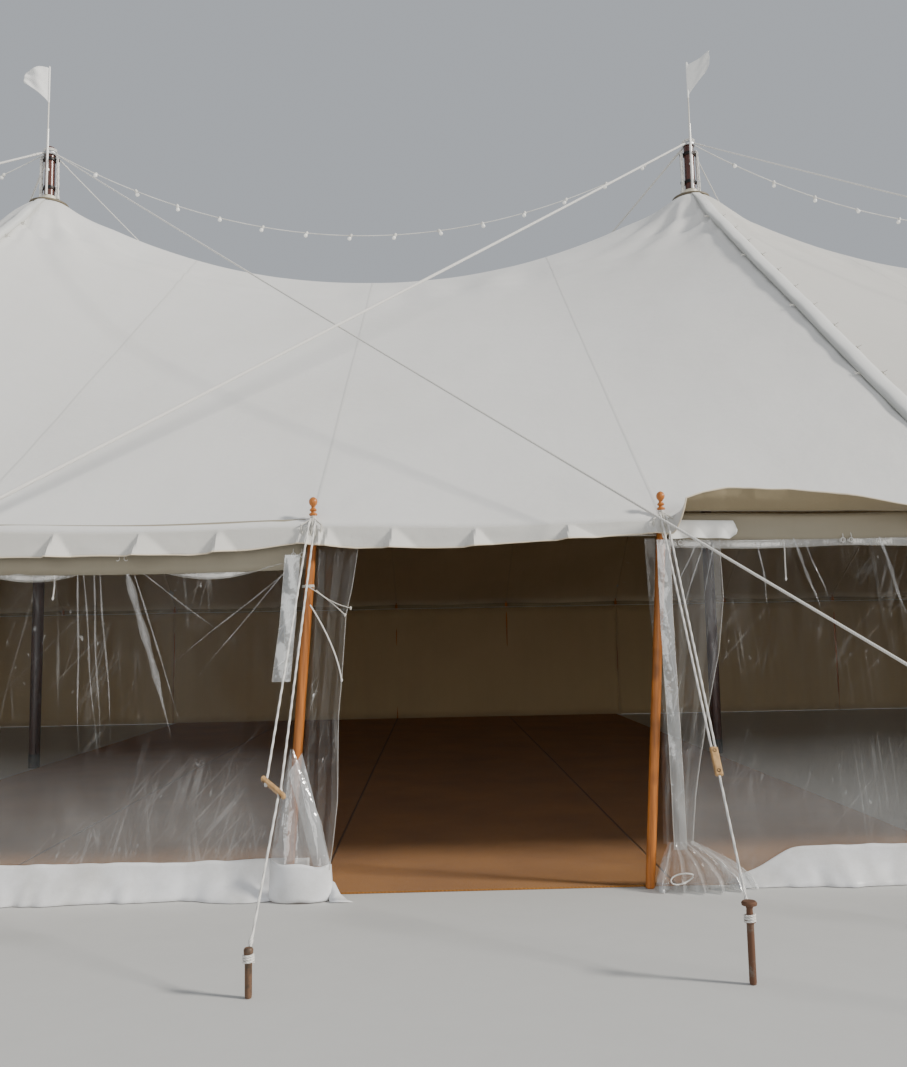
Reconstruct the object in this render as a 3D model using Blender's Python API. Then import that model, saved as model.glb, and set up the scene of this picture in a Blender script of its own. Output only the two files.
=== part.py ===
"""White pole marquee: laced canvas sections on king poles, hung walls, guy ropes and stakes.

X runs along the ridge, the door faces -Y, Z is up and the ground is Z = 0.
"""

import math

import bmesh
import bpy
from mathutils import Matrix, Vector

# Plan
BAY_COUNT = 3
SPACES_PER_BAY = 4
POLE_SPACING = 2.0
HALF_WIDTH = 6.1
END_LENGTH = 6.1
END_SPACES = 3
END_WALL_SPACES = 6

# Roof canvas
CROWN_HEIGHT = 6.93
RIDGE_LOW = 5.79
RIDGE_POWER = 2.1
EAVE_HEIGHT = 2.08
EAVE_OVERHANG = 0.05
VALANCE_DROP = 0.15
CANVAS_THICKNESS = 0.008
CROWN_HOLE = 0.12
END_SAG = 0.16
SEAM_GAP = 0.0005
ROOF_ROWS = 2
COLUMNS_PER_SPACE = 2
END_ROWS = 3
END_COLUMNS_PER_SPACE = 1

# Clearance between pieces that touch
GAP = 0.0003

# Lacing covers
COVER_WIDTH = 0.19
COVER_RISE = 0.05
COVER_END_GAP = 0.02

# King poles and what hangs on their heads
KING_SIDES = 12
KING_RADIUS = 0.065
KING_HEIGHT = 7.59
PLATE_RADIUS = 0.23
PLATE_FALL = 0.42
PLATE_THICKNESS = 0.012
PLATE_SLEEVE_WALL = 0.02
PLATE_SLEEVE_RISE = 0.05
BAND_WALL = 0.006
BRACKET_HEIGHT = 0.04
BRACKET_REACH = 0.118
BRACKET_WIDTH = 0.04
LOWER_BRACKET_RISE = 0.12
UPPER_BRACKET_DROP = 0.17
STRAP_OFFSET = 0.1
STRAP_RADIUS = 0.009

# Flags
HOLDER_RADIUS = 0.013
HOLDER_ABOVE_POLE = 0.19
FLAG_ROD_RADIUS = 0.007
FLAG_TOP_ABOVE_POLE = 1.02
FLAG_HOIST = 0.48
FLAG_FLY = 0.29
FLAG_TIP = 0.2
FLAG_THICKNESS = 0.006
FLAG_BELLY = 0.05
FLAG_STEPS = 4
FLAG_HEAD_FALL = 0.1
FLAG_HEAD_GAP = 0.01
LEFT_WIND = 180.0
RIGHT_WIND = -25.0

# Storm ropes
STORM_RADIUS = 0.008
STORM_COLLAR_WALL = 0.0165
STORM_COLLAR_HEIGHT = 0.04
STORM_DROP = 0.045
STORM_STAGGER = 0.05
STORM_STAKE_LINE = 8.7
STORM_STAKE_SHIFT = 0.15
STORM_END_REACH = 4.36

# Light strings
LIGHT_SAG = 1.12
LIGHT_SPACING = 0.53
CABLE_RADIUS = 0.004
BULB_RADIUS = 0.024
BULB_LENGTH = 0.08

# Side poles
SIDE_RADIUS = 0.0275
POLE_TOP_DROP = 0.04
PIN_RADIUS = 0.008
FINIAL_LIFT = 0.024
FINIAL_HEIGHT = 0.11
FINIAL_RADIUS = 0.025
SIDE_SIDES = 6
DOOR_POLE_SIDES = 10
DOOR_POLE_LEAN = 0.15

# Guy ropes
GUY_RADIUS = 0.005
GUY_PAIR_HALF = 0.016
EAVE_ROPE_RADIUS = 0.006
EAVE_ROPE_DROP = 0.02
STAKE_LINE = 1.52
STAKE_RADIUS = 0.016
STAKE_HEIGHT = 0.24
STAKE_TIE_SHARE = 0.8
STAKE_SIDES = 5
DOOR_STAKE_SIDES = 8
DOOR_STAKE_SHIFT = 0.075
LEFT_STAKE_HEIGHT = 0.19
RIGHT_STAKE_HEIGHT = 0.32
STAKE_HEAD_RADIUS = 0.03
STAKE_HEAD_HEIGHT = 0.02
ROPE_SIDES = 4
SLIDER_PLACE = 0.69
SLIDER_LENGTH = 0.15
SLIDER_WIDTH = 0.036
SLIDER_DEPTH = 0.02
LEFT_SLIDER_TILT = 50.0

# Walls
WALL_THICKNESS = 0.005
WALL_ROPE_RADIUS = 0.006
WALL_ROPE_DROP = 0.075

# Door
CURTAIN_TOP_WIDTH = 0.3
CURTAIN_FOOT_WIDTH = 0.3
CURTAIN_TIE_HEIGHT = 1.5
CURTAIN_TIE_WIDTH = 0.2
CURTAIN_FOOT_DEPTH = 0.2
CURTAIN_SIDES = 8

# Floor
MAT_THICKNESS = 0.008

BAY_LENGTH = POLE_SPACING * SPACES_PER_BAY
KING_COUNT = BAY_COUNT + 1
KING_XS = [BAY_LENGTH * (i - BAY_COUNT / 2) for i in range(KING_COUNT)]
END_X = KING_XS[-1] + END_LENGTH
FOLD_Y = HALF_WIDTH + EAVE_OVERHANG
FOLD_X = END_X + EAVE_OVERHANG
ROOF_FALL = (CROWN_HEIGHT - EAVE_HEIGHT) / HALF_WIDTH
FOLD_HEIGHT = CROWN_HEIGHT - ROOF_FALL * FOLD_Y
DOOR_LEFT_X = 0.0
DOOR_RIGHT_X = DOOR_LEFT_X + POLE_SPACING
POLE_TOP = EAVE_HEIGHT - POLE_TOP_DROP
WALL_ROPE_HEIGHT = POLE_TOP - WALL_ROPE_DROP
ROPE_FLAT = math.cos(math.pi / ROPE_SIDES)
EAVE_ROPE_LINE = EAVE_OVERHANG + GAP + EAVE_ROPE_RADIUS * ROPE_FLAT
ROPE_INSET = SIDE_RADIUS
WALL_INSET = SIDE_RADIUS + GAP + WALL_THICKNESS / 2
WALL_TOP = WALL_ROPE_HEIGHT - WALL_ROPE_RADIUS * ROPE_FLAT - GAP
INSIDE_Y = HALF_WIDTH - WALL_INSET - WALL_THICKNESS / 2
CLEAR_OF_POLE = SIDE_RADIUS + GAP


def material(name, colour, roughness, metallic=0.0):
    """A plain material with the piece's colour."""
    made = bpy.data.materials.new(name)
    made.use_nodes = True
    shader = made.node_tree.nodes["Principled BSDF"]
    shader.inputs["Base Color"].default_value = (*colour, 1.0)
    shader.inputs["Roughness"].default_value = roughness
    shader.inputs["Metallic"].default_value = metallic
    return made


def mesh_from(shape):
    """Turn a bmesh into a mesh whose faces point outwards."""
    bmesh.ops.recalc_face_normals(shape, faces=shape.faces)
    mesh = bpy.data.meshes.new("piece")
    shape.to_mesh(mesh)
    shape.free()
    return mesh


def place(name, mesh, finish):
    """Put a mesh in the scene as a named piece."""
    piece = bpy.data.objects.new(name, mesh)
    bpy.context.scene.collection.objects.link(piece)
    mesh.materials.clear()
    mesh.materials.append(finish)
    return piece


def block(low, high):
    """A box between two corners."""
    shape = bmesh.new()
    bmesh.ops.create_cube(shape, size=1.0)
    low, high = Vector(low), Vector(high)
    for vert in shape.verts:
        vert.co = Vector(low[k] + (vert.co[k] + 0.5) * (high[k] - low[k]) for k in range(3))
    return mesh_from(shape)


def rings_to_mesh(rings, closed=False):
    """Join rings of equal length into a skin, capped at its ends or closed on itself."""
    shape = bmesh.new()
    rows = [[shape.verts.new(point) for point in ring] for ring in rings]
    count = len(rows[0])
    pairs = list(zip(rows, rows[1:]))
    if closed:
        pairs.append((rows[-1], rows[0]))
    for first, second in pairs:
        for i in range(count):
            j = (i + 1) % count
            shape.faces.new((first[i], first[j], second[j], second[i]))
    if not closed:
        shape.faces.new(rows[0])
        shape.faces.new(rows[-1])
    return mesh_from(shape)


def swept(points, radius, sides):
    """A tube with closed ends along a line of points."""
    points = [Vector(point) for point in points]
    rings = []
    for i, point in enumerate(points):
        ahead = points[min(i + 1, len(points) - 1)] - points[max(i - 1, 0)]
        across = ahead.cross(Vector((0, 0, 1)))
        if across.length < 1e-6:
            across = Vector((1, 0, 0))
        across.normalize()
        above = across.cross(ahead).normalized()
        turns = [2 * math.pi * (k + 0.5) / sides for k in range(sides)]
        rings.append([point + radius * (math.cos(t) * across + math.sin(t) * above) for t in turns])
    return rings_to_mesh(rings)


def turned(profile, sides, x, y, lean=0.0, lean_height=1.0, closed=False, phase=0.5):
    """A piece turned about a vertical line; lean shifts its foot along X."""
    rings = []
    for radius, z in profile:
        shift = -lean * (1 - z / lean_height)
        turns = [2 * math.pi * (k + phase) / sides for k in range(sides)]
        rings.append([(x + shift + radius * math.cos(t), y + radius * math.sin(t), z) for t in turns])
    return rings_to_mesh(rings, closed)


def fuse(name, meshes, finish):
    """Join overlapping closed meshes into one body."""
    scene = bpy.context.scene
    body = place(name, meshes[0], finish)
    others = bpy.data.collections.new(name + "_parts")
    scene.collection.children.link(others)
    for mesh in meshes[1:]:
        helper = bpy.data.objects.new(name + "_helper", mesh)
        helper.hide_render = True
        helper.display_type = "WIRE"
        others.objects.link(helper)
    union = body.modifiers.new("Union", "BOOLEAN")
    union.operation = "UNION"
    union.operand_type = "COLLECTION"
    union.collection = others
    return settle(body, others)


def cut(body, cutters):
    """Take closed meshes out of a body."""
    scene = bpy.context.scene
    others = bpy.data.collections.new(body.name + "_cutters")
    scene.collection.children.link(others)
    for mesh in cutters:
        helper = bpy.data.objects.new(body.name + "_cutter", mesh)
        helper.hide_render = True
        helper.display_type = "WIRE"
        others.objects.link(helper)
    difference = body.modifiers.new("Holes", "BOOLEAN")
    difference.operation = "DIFFERENCE"
    difference.operand_type = "COLLECTION"
    difference.collection = others
    return settle(body, others)


def settle(body, others):
    """Make the boolean's result the body's own mesh and remove the helpers."""
    bpy.context.view_layer.update()
    depsgraph = bpy.context.evaluated_depsgraph_get()
    finish = body.data.materials[0]
    result = bpy.data.meshes.new_from_object(body.evaluated_get(depsgraph))
    body.modifiers.clear()
    result.materials.clear()
    result.materials.append(finish)
    for polygon in result.polygons:
        polygon.material_index = 0
    body.data = result
    for helper in list(others.objects):
        bpy.data.objects.remove(helper)
    bpy.data.collections.remove(others)
    return body


def ridge_height(x):
    """Top of the canvas on the ridge between two king poles."""
    nearest = min(KING_XS, key=lambda king: abs(x - king))
    from_middle = 1 - abs(x - nearest) / (BAY_LENGTH / 2)
    return RIDGE_LOW + (CROWN_HEIGHT - RIDGE_LOW) * from_middle ** RIDGE_POWER


def bay_height(x, y):
    """Top of the canvas over a bay."""
    down = abs(y) / FOLD_Y
    return ridge_height(x) + (FOLD_HEIGHT - ridge_height(x)) * down


def sheet_solid(top, inner, rising):
    """A closed sheet from its upper and lower grids of points; rising picks each square's diagonal."""
    shape = bmesh.new()
    upper = [[shape.verts.new(point) for point in row] for row in top]
    lower = [[shape.verts.new(point) for point in row] for row in inner]
    rows, columns = len(upper), len(upper[0])
    for i in range(rows - 1):
        for j in range(columns - 1):
            for skin in (upper, lower):
                a, b = skin[i][j], skin[i][j + 1]
                c, d = skin[i + 1][j + 1], skin[i + 1][j]
                if rising(i, j):
                    shape.faces.new((a, b, c))
                    shape.faces.new((a, c, d))
                else:
                    shape.faces.new((a, b, d))
                    shape.faces.new((b, c, d))
    border = [(0, j) for j in range(columns)]
    border += [(i, columns - 1) for i in range(1, rows)]
    border += [(rows - 1, j) for j in range(columns - 2, -1, -1)]
    border += [(i, 0) for i in range(rows - 2, 0, -1)]
    for (i, j), (k, m) in zip(border, border[1:] + border[:1]):
        shape.faces.new((upper[k][m], upper[i][j], lower[i][j], lower[k][m]))
    return mesh_from(shape)


def bay_canvas(left_king):
    """One laced section over a bay, from valance to valance."""
    left, right = left_king + SEAM_GAP, left_king + BAY_LENGTH - SEAM_GAP
    columns = SPACES_PER_BAY * COLUMNS_PER_SPACE
    slope = [CROWN_HOLE + (FOLD_Y - CROWN_HOLE) * k / ROOF_ROWS for k in range(ROOF_ROWS, -1, -1)]
    top, inner = [], []
    for side in (-1, 1):
        rows_top, rows_inner = [], []
        for row, distance in enumerate([FOLD_Y] + slope):
            line, line_inner = [], []
            for j in range(columns + 1):
                x = left + (right - left) * j / columns
                z = bay_height(x, distance)
                z_inner = z - CANVAS_THICKNESS
                y_inner = distance
                if row == 0:
                    z = z - VALANCE_DROP
                    z_inner = z
                    y_inner = distance - CANVAS_THICKNESS
                elif row == 1:
                    y_inner = distance - CANVAS_THICKNESS
                    z_inner = bay_height(x, y_inner) - CANVAS_THICKNESS
                line.append(Vector((x, side * distance, z)))
                line_inner.append(Vector((x, side * y_inner, z_inner)))
            rows_top.append(line)
            rows_inner.append(line_inner)
        if side < 0:
            top, inner = rows_top, rows_inner
        else:
            middle = []
            for j in range(columns + 1):
                x = left + (right - left) * j / columns
                if j == 0:
                    x = left_king + CROWN_HOLE
                elif j == columns:
                    x = left_king + BAY_LENGTH - CROWN_HOLE
                middle.append(Vector((x, 0, ridge_height(x))))
            top = top + [middle] + rows_top[::-1]
            drop = Vector((0, 0, -CANVAS_THICKNESS))
            inner = inner + [[point + drop for point in middle]] + rows_inner[::-1]
    half_rows, half_columns = (len(top) - 1) / 2, columns / 2
    return sheet_solid(top, inner, lambda i, j: (i < half_rows) != (j < half_columns))


def end_outline(side):
    """Points and inward directions along the eave of an end section, front to back."""
    king = KING_XS[-1]
    corner = math.sqrt(0.5)
    steps = END_SPACES * END_COLUMNS_PER_SPACE
    wall_steps = END_WALL_SPACES * END_COLUMNS_PER_SPACE
    points = []
    for k in range(steps):
        points.append((king + END_LENGTH * k / steps, -FOLD_Y, (0, 1), k / steps))
    points.append((FOLD_X, -FOLD_Y, (-1, 1), 1.0))
    for k in range(1, wall_steps):
        y = -HALF_WIDTH + 2 * HALF_WIDTH * k / wall_steps
        points.append((FOLD_X, y, (-1, 0), 1.0 + 2 * k / wall_steps))
    points.append((FOLD_X, FOLD_Y, (-1, -1), 3.0))
    for k in range(steps - 1, -1, -1):
        points.append((king + END_LENGTH * k / steps, FOLD_Y, (0, -1), 4.0 - k / steps))
    return [(side * x, y, (side * nx, ny), turn) for x, y, (nx, ny), turn in points]


def end_canvas(side):
    """The hipped section beyond the last king pole."""
    king = side * KING_XS[-1]
    top = [[] for _ in range(END_ROWS + 2)]
    inner = [[] for _ in range(END_ROWS + 2)]
    for x, y, (nx, ny), turn in end_outline(side):
        reach = math.hypot(x - king, y)
        first = CROWN_HOLE / reach
        inward = Vector((nx, ny, 0)) * CANVAS_THICKNESS
        for row in range(END_ROWS + 1):
            share = first + (1 - first) * row / END_ROWS
            sag = END_SAG * 4 * share * (1 - share) * math.sin(math.pi * (turn % 1.0)) ** 2
            px = king + (x - king) * share
            if side * (px - king) < SEAM_GAP:
                px = king + side * SEAM_GAP
            z = CROWN_HEIGHT + (FOLD_HEIGHT - CROWN_HEIGHT) * share - sag
            point = Vector((px, y * share, z))
            under = Vector((0, 0, -CANVAS_THICKNESS))
            if row == END_ROWS:
                under = under + inward + Vector((0, 0, ROOF_FALL * CANVAS_THICKNESS))
            top[row].append(point)
            inner[row].append(point + under)
        hem = top[END_ROWS][-1] + Vector((0, 0, -VALANCE_DROP))
        top[END_ROWS + 1].append(hem)
        inner[END_ROWS + 1].append(hem + inward)
    half_columns = (len(top[0]) - 1) / 2
    return sheet_solid(top, inner, lambda i, j: j < half_columns)


def side_pole_places():
    """Where every side pole stands, by the side that it belongs to."""
    spaces = BAY_COUNT * SPACES_PER_BAY
    along = [KING_XS[0] + POLE_SPACING * k for k in range(spaces + 1)]
    step = END_LENGTH / END_SPACES
    along = [-END_X + step * k for k in range(END_SPACES)] + along
    along = along + [KING_XS[-1] + step * (k + 1) for k in range(END_SPACES)]
    wall_step = 2 * HALF_WIDTH / END_WALL_SPACES
    across = [-HALF_WIDTH + wall_step * k for k in range(1, END_WALL_SPACES)]
    return along, across


def pin_holes(places):
    """Cutters for the pins that pass through the canvas."""
    reach = PIN_RADIUS + GAP / math.cos(math.pi / SIDE_SIDES)
    profile = [(reach, EAVE_HEIGHT - 3 * FINIAL_RADIUS), (reach, EAVE_HEIGHT + 3 * FINIAL_RADIUS)]
    return [turned(profile, SIDE_SIDES, x, y) for x, y in places]


def lacing_cover(king, side):
    """A padded rain strip over the lacing, from the crown plate to the eave."""
    up = Vector((0, side * ROOF_FALL, 1)).normalized()
    start = PLATE_RADIUS + COVER_END_GAP
    end = HALF_WIDTH - FINIAL_RADIUS - COVER_END_GAP - COVER_RISE
    half = COVER_WIDTH / 2
    outline = [(-half, 0), (-0.7 * half, 0.75), (0, 1), (0.7 * half, 0.75), (half, 0)]
    rings = []
    for distance in (start, end):
        crease = Vector((king, side * distance, CROWN_HEIGHT - ROOF_FALL * distance))
        rings.append([crease + Vector((x, 0, 0)) + up * (GAP + COVER_RISE * rise) for x, rise in outline])
    return rings_to_mesh(rings)


def plate_under(king, radius):
    """Height of a crown plate's lower face, which rests on the highest canvas round the crown hole."""
    seat = ridge_height(KING_XS[0] + CROWN_HOLE)
    if abs(king) == KING_XS[-1]:
        hip_fall = (CROWN_HEIGHT - FOLD_HEIGHT) / math.hypot(END_LENGTH + EAVE_OVERHANG, FOLD_Y)
        flat_fall = PLATE_FALL * (1 / math.cos(math.pi / KING_SIDES) - 1)
        seat = max(seat, CROWN_HEIGHT + (flat_fall - hip_fall) * CROWN_HOLE)
    return seat + GAP - PLATE_FALL * (radius - CROWN_HOLE)


def crown_gear(king):
    """Crown plate hung by two straps from brackets on the pole head."""
    bore = KING_RADIUS + GAP
    sleeve = bore + PLATE_SLEEVE_WALL
    profile = [
        (bore, plate_under(king, bore)),
        (PLATE_RADIUS, plate_under(king, PLATE_RADIUS)),
        (PLATE_RADIUS, plate_under(king, PLATE_RADIUS) + PLATE_THICKNESS),
        (sleeve, plate_under(king, sleeve) + PLATE_THICKNESS),
        (sleeve, plate_under(king, bore) + PLATE_SLEEVE_RISE),
        (bore, plate_under(king, bore) + PLATE_SLEEVE_RISE),
    ]
    pieces = [turned(profile, KING_SIDES, king, 0, closed=True, phase=0.0)]
    levels = (CROWN_HEIGHT + LOWER_BRACKET_RISE, KING_HEIGHT - UPPER_BRACKET_DROP)
    for level in levels:
        low, high = level - BRACKET_HEIGHT / 2, level + BRACKET_HEIGHT / 2
        band = bore + BAND_WALL
        profile = [(bore, low), (band, low), (band, high), (bore, high)]
        pieces.append(turned(profile, KING_SIDES, king, 0, closed=True, phase=0.0))
        for side in (-1, 1):
            near, far = king + side * (bore + BAND_WALL / 2), king + side * BRACKET_REACH
            corner = (min(near, far), -BRACKET_WIDTH / 2, low + BAND_WALL / 4)
            pieces.append(block(corner, (max(near, far), BRACKET_WIDTH / 2, high - BAND_WALL / 4)))
    foot = plate_under(king, STRAP_OFFSET) + PLATE_THICKNESS / 2
    for side in (-1, 1):
        x = king + side * STRAP_OFFSET
        pieces.append(turned([(STRAP_RADIUS, foot), (STRAP_RADIUS, levels[1])], ROPE_SIDES, x, 0))
    return pieces


def storm_level(index):
    """Height of a king pole's storm rope collar; neighbours differ so that ropes cross clear."""
    return KING_HEIGHT - STORM_DROP - STORM_STAGGER * (index % 2)


def stake(x, y, height=STAKE_HEIGHT, headed=False):
    """A steel stake from the ground up; the doorway's have flanged heads."""
    if not headed:
        return turned([(STAKE_RADIUS, 0), (STAKE_RADIUS, height)], STAKE_SIDES, x, y)
    neck = height - STAKE_HEAD_HEIGHT
    profile = [(STAKE_RADIUS, 0), (STAKE_RADIUS, neck)]
    profile += [(STAKE_HEAD_RADIUS, neck), (STAKE_HEAD_RADIUS, height)]
    return turned(profile, DOOR_STAKE_SIDES, x, y)


def storm_ropes(index):
    """Four ropes from a king pole's head down to their stakes, two each side."""
    king = KING_XS[index]
    level = storm_level(index)
    bore = KING_RADIUS + GAP
    outer = bore + STORM_COLLAR_WALL
    low, high = level - STORM_COLLAR_HEIGHT / 2, level + STORM_COLLAR_HEIGHT / 2
    collar = [(bore, low), (outer, low), (outer, high), (bore, high)]
    pieces = [turned(collar, KING_SIDES, king, 0, closed=True, phase=0.0)]
    for way in (-1, 1):
        beyond = index + way
        if 0 <= beyond < KING_COUNT:
            reach = BAY_LENGTH - STORM_STAKE_SHIFT
        else:
            reach = STORM_END_REACH
        for side in (-1, 1):
            tie = STAKE_TIE_SHARE * STAKE_HEIGHT
            foot = Vector((king + way * reach, side * STORM_STAKE_LINE, tie))
            away = Vector((foot.x - king, foot.y, 0)).normalized()
            start = Vector((king, 0, level)) + away * (bore + STORM_COLLAR_WALL / 2)
            pieces.append(swept([start, foot], STORM_RADIUS, ROPE_SIDES))
            pieces.append(stake(foot.x, foot.y))
    return pieces


def flag(index):
    """Holder tube, rod and a four-sided flag blown by the wind."""
    king = KING_XS[index]
    y = -(KING_RADIUS + GAP + STORM_COLLAR_WALL + GAP + HOLDER_RADIUS)
    foot = plate_under(king, KING_RADIUS + GAP) + PLATE_SLEEVE_RISE + GAP
    top = KING_HEIGHT + HOLDER_ABOVE_POLE
    tip = KING_HEIGHT + FLAG_TOP_ABOVE_POLE
    profile = [(HOLDER_RADIUS, foot), (HOLDER_RADIUS, top), (FLAG_ROD_RADIUS, top), (FLAG_ROD_RADIUS, tip)]
    pieces = [turned(profile, 8, king, y)]
    wind = math.radians(LEFT_WIND if index % 2 else RIGHT_WIND)
    along = Vector((math.cos(wind), math.sin(wind), 0))
    belly = Vector((-math.sin(wind), math.cos(wind), 0))
    rings = []
    for k in range(FLAG_STEPS + 1):
        share = k / FLAG_STEPS
        centre = Vector((king, y, 0)) + along * FLAG_FLY * share
        centre = centre + belly * FLAG_BELLY * math.sin(math.pi * share)
        head = tip - FLAG_HEAD_GAP
        high = head - FLAG_HEAD_FALL * share ** 2
        low = head - FLAG_HOIST + (FLAG_HOIST - FLAG_TIP - FLAG_HEAD_FALL) * share
        half = belly * FLAG_THICKNESS / 2
        rings.append([centre - half + Vector((0, 0, low)), centre + half + Vector((0, 0, low)),
                      centre + half + Vector((0, 0, high)), centre - half + Vector((0, 0, high))])
    pieces.append(rings_to_mesh(rings))
    return pieces


def side_pole(x, y, lean=0.0, turned_finial=False):
    """A wooden side pole with its pin and finial; the doorway's are turned more finely."""
    seat = EAVE_HEIGHT + FINIAL_LIFT
    sides = DOOR_POLE_SIDES if turned_finial else SIDE_SIDES
    shaft = turned([(SIDE_RADIUS, 0), (SIDE_RADIUS, POLE_TOP)], sides, x, y, lean, POLE_TOP)
    profile = [(PIN_RADIUS, POLE_TOP - PIN_RADIUS), (PIN_RADIUS, seat), (FINIAL_RADIUS, seat)]
    if turned_finial:
        profile.append((0.55 * FINIAL_RADIUS, seat + 0.35 * FINIAL_HEIGHT))
        profile.append((FINIAL_RADIUS, seat + 0.72 * FINIAL_HEIGHT))
    profile.append((0.3 * FINIAL_RADIUS, seat + FINIAL_HEIGHT))
    return [shaft, turned(profile, SIDE_SIDES, x, y)]


def guy(x, y, outward, shift=0.0, height=STAKE_HEIGHT, headed=False, tilt=0.0):
    """A pair of ropes, a wooden slider, a single rope and its stake; tilt turns the slider across."""
    outward = Vector((*outward, 0))
    across = Vector((-outward.y, outward.x, 0))
    pole = Vector((x, y, 0))
    start = pole + outward * EAVE_ROPE_LINE + Vector((0, 0, FOLD_HEIGHT - EAVE_ROPE_DROP))
    foot = pole + outward * STAKE_LINE + Vector((-shift, 0, STAKE_TIE_SHARE * height))
    centre = start.lerp(foot, SLIDER_PLACE)
    down = (foot - start).normalized()
    across = (across - down * across.dot(down)).normalized()
    pieces = []
    lay = (down * math.cos(math.radians(tilt)) + across * math.sin(math.radians(tilt))).normalized()
    beside = (across - lay * across.dot(lay)).normalized()
    for side in (-1, 1):
        offset = across * side * GUY_PAIR_HALF
        end = side if tilt else -1
        knot = centre + beside * side * SLIDER_WIDTH / 4 + lay * end * SLIDER_LENGTH / 4
        pieces.append(swept([start + offset, knot], GUY_RADIUS, ROPE_SIDES))
    pieces.append(swept([centre + lay * SLIDER_LENGTH / 4, foot], GUY_RADIUS, ROPE_SIDES))
    half = Vector((SLIDER_WIDTH / 2, SLIDER_DEPTH / 2, SLIDER_LENGTH / 2))
    bar = block(-half, half)
    turn = Matrix((beside, lay.cross(beside), lay)).transposed().to_4x4()
    bar.transform(Matrix.Translation(centre) @ turn)
    pieces.append(bar)
    pieces.append(stake(foot.x, foot.y, height, headed))
    return pieces


def eave_rope(start, end):
    """The rope along the eave that the guys of a side pull on."""
    return swept([start, end], EAVE_ROPE_RADIUS, ROPE_SIDES)


def light_string(index):
    """A sagging cable with small lamps between two king poles."""
    reach = KING_RADIUS + GAP + STORM_COLLAR_WALL + GAP + CABLE_RADIUS / 3
    start = Vector((KING_XS[index] + reach, 0, storm_level(index)))
    end = Vector((KING_XS[index + 1] - reach, 0, storm_level(index + 1)))
    count = round((end - start).length / LIGHT_SPACING)
    points = []
    for k in range(count + 1):
        share = k / count
        sag = LIGHT_SAG * (1 - (2 * share - 1) ** 2)
        points.append(start.lerp(end, share) - Vector((0, 0, sag)))
    pieces = [swept(points, CABLE_RADIUS, ROPE_SIDES)]
    for point in points[1:-1]:
        profile = [(BULB_RADIUS / 2, point.z + CABLE_RADIUS / 2), (BULB_RADIUS, point.z - BULB_LENGTH)]
        pieces.append(turned(profile, ROPE_SIDES, point.x, point.y, phase=0.0))
    return pieces


def curtain(pole_x, way):
    """Clear door curtain drawn back and tied at the pole; way points into the doorway."""
    front = -HALF_WIDTH
    levels = [
        (WALL_TOP, CURTAIN_TOP_WIDTH, 0.006),
        (CURTAIN_TIE_HEIGHT, CURTAIN_TIE_WIDTH, 0.03),
        (0.5 * CURTAIN_TIE_HEIGHT, 0.7 * CURTAIN_FOOT_WIDTH, 0.04),
        (0.0, CURTAIN_FOOT_WIDTH, CURTAIN_FOOT_DEPTH / 2),
    ]
    rings = []
    for z, width, depth in levels:
        lean = DOOR_POLE_LEAN * (1 - z / POLE_TOP)
        edge = pole_x - lean + way * CLEAR_OF_POLE
        centre_x = edge + way * width / 2
        back = front + WALL_INSET - WALL_THICKNESS / 2 - GAP
        centre_y = back - depth
        turns = [2 * math.pi * (k + 0.5) / CURTAIN_SIDES for k in range(CURTAIN_SIDES)]
        reach = way * width / 2
        rings.append([(centre_x + reach * math.cos(t), centre_y + depth * math.sin(t), z) for t in turns])
    return rings_to_mesh(rings)


def finishes():
    """The plain materials, by what the pieces are made of."""
    return {
        "canvas": material("white_canvas", (0.8, 0.8, 0.77), 0.6),
        "cover": material("cover_canvas", (0.84, 0.84, 0.82), 0.55),
        "clear": material("clear_sheet", (0.85, 0.88, 0.88), 0.1),
        "cream": material("cream_cloth", (0.72, 0.67, 0.55), 0.8),
        "mahogany": material("mahogany", (0.1, 0.03, 0.02), 0.35),
        "varnished": material("varnished_wood", (0.5, 0.2, 0.05), 0.35),
        "iron": material("dark_iron", (0.05, 0.05, 0.05), 0.5, 1.0),
        "rope": material("white_rope", (0.75, 0.74, 0.7), 0.8),
        "coir": material("coir", (0.42, 0.22, 0.07), 0.95),
        "lamp": material("lamp_white", (0.85, 0.85, 0.8), 0.3),
    }


def build_canvas(finish, along, across):
    """The laced bays and the two hipped ends, with a hole for every pin."""
    holes = [(x, side * HALF_WIDTH) for x in along for side in (-1, 1)]
    holes = holes + [(side * END_X, y) for y in across for side in (-1, 1)]
    margin = POLE_SPACING / 2
    for index in range(BAY_COUNT):
        section = place(f"canvas_bay_{index + 1}", bay_canvas(KING_XS[index]), finish)
        low, high = KING_XS[index] - margin, KING_XS[index + 1] + margin
        cut(section, pin_holes([(x, y) for x, y in holes if low < x < high]))
    for name, side in (("left", -1), ("right", 1)):
        section = place(f"canvas_end_{name}", end_canvas(side), finish)
        cut(section, pin_holes([(x, y) for x, y in holes if side * x > KING_XS[-1] - margin]))


def build_king_lines(finish):
    """King poles with their gear, flags, storm ropes and lacing covers, and the lights between them."""
    for index, king in enumerate(KING_XS):
        number = index + 1
        for name, side in (("front", -1), ("back", 1)):
            place(f"lacing_cover_{name}_{number}", lacing_cover(king, side), finish["cover"])
        shaft = [(KING_RADIUS, 0), (KING_RADIUS, KING_HEIGHT)]
        place(f"king_pole_{number}", turned(shaft, KING_SIDES, king, 0, phase=0.0), finish["mahogany"])
        fuse(f"crown_gear_{number}", crown_gear(king), finish["iron"])
        fuse(f"storm_ropes_{number}", storm_ropes(index), finish["rope"])
        fuse(f"flag_{number}", flag(index), finish["canvas"])
    for index in range(BAY_COUNT):
        fuse(f"light_string_{index + 1}", light_string(index), finish["lamp"])


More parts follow.
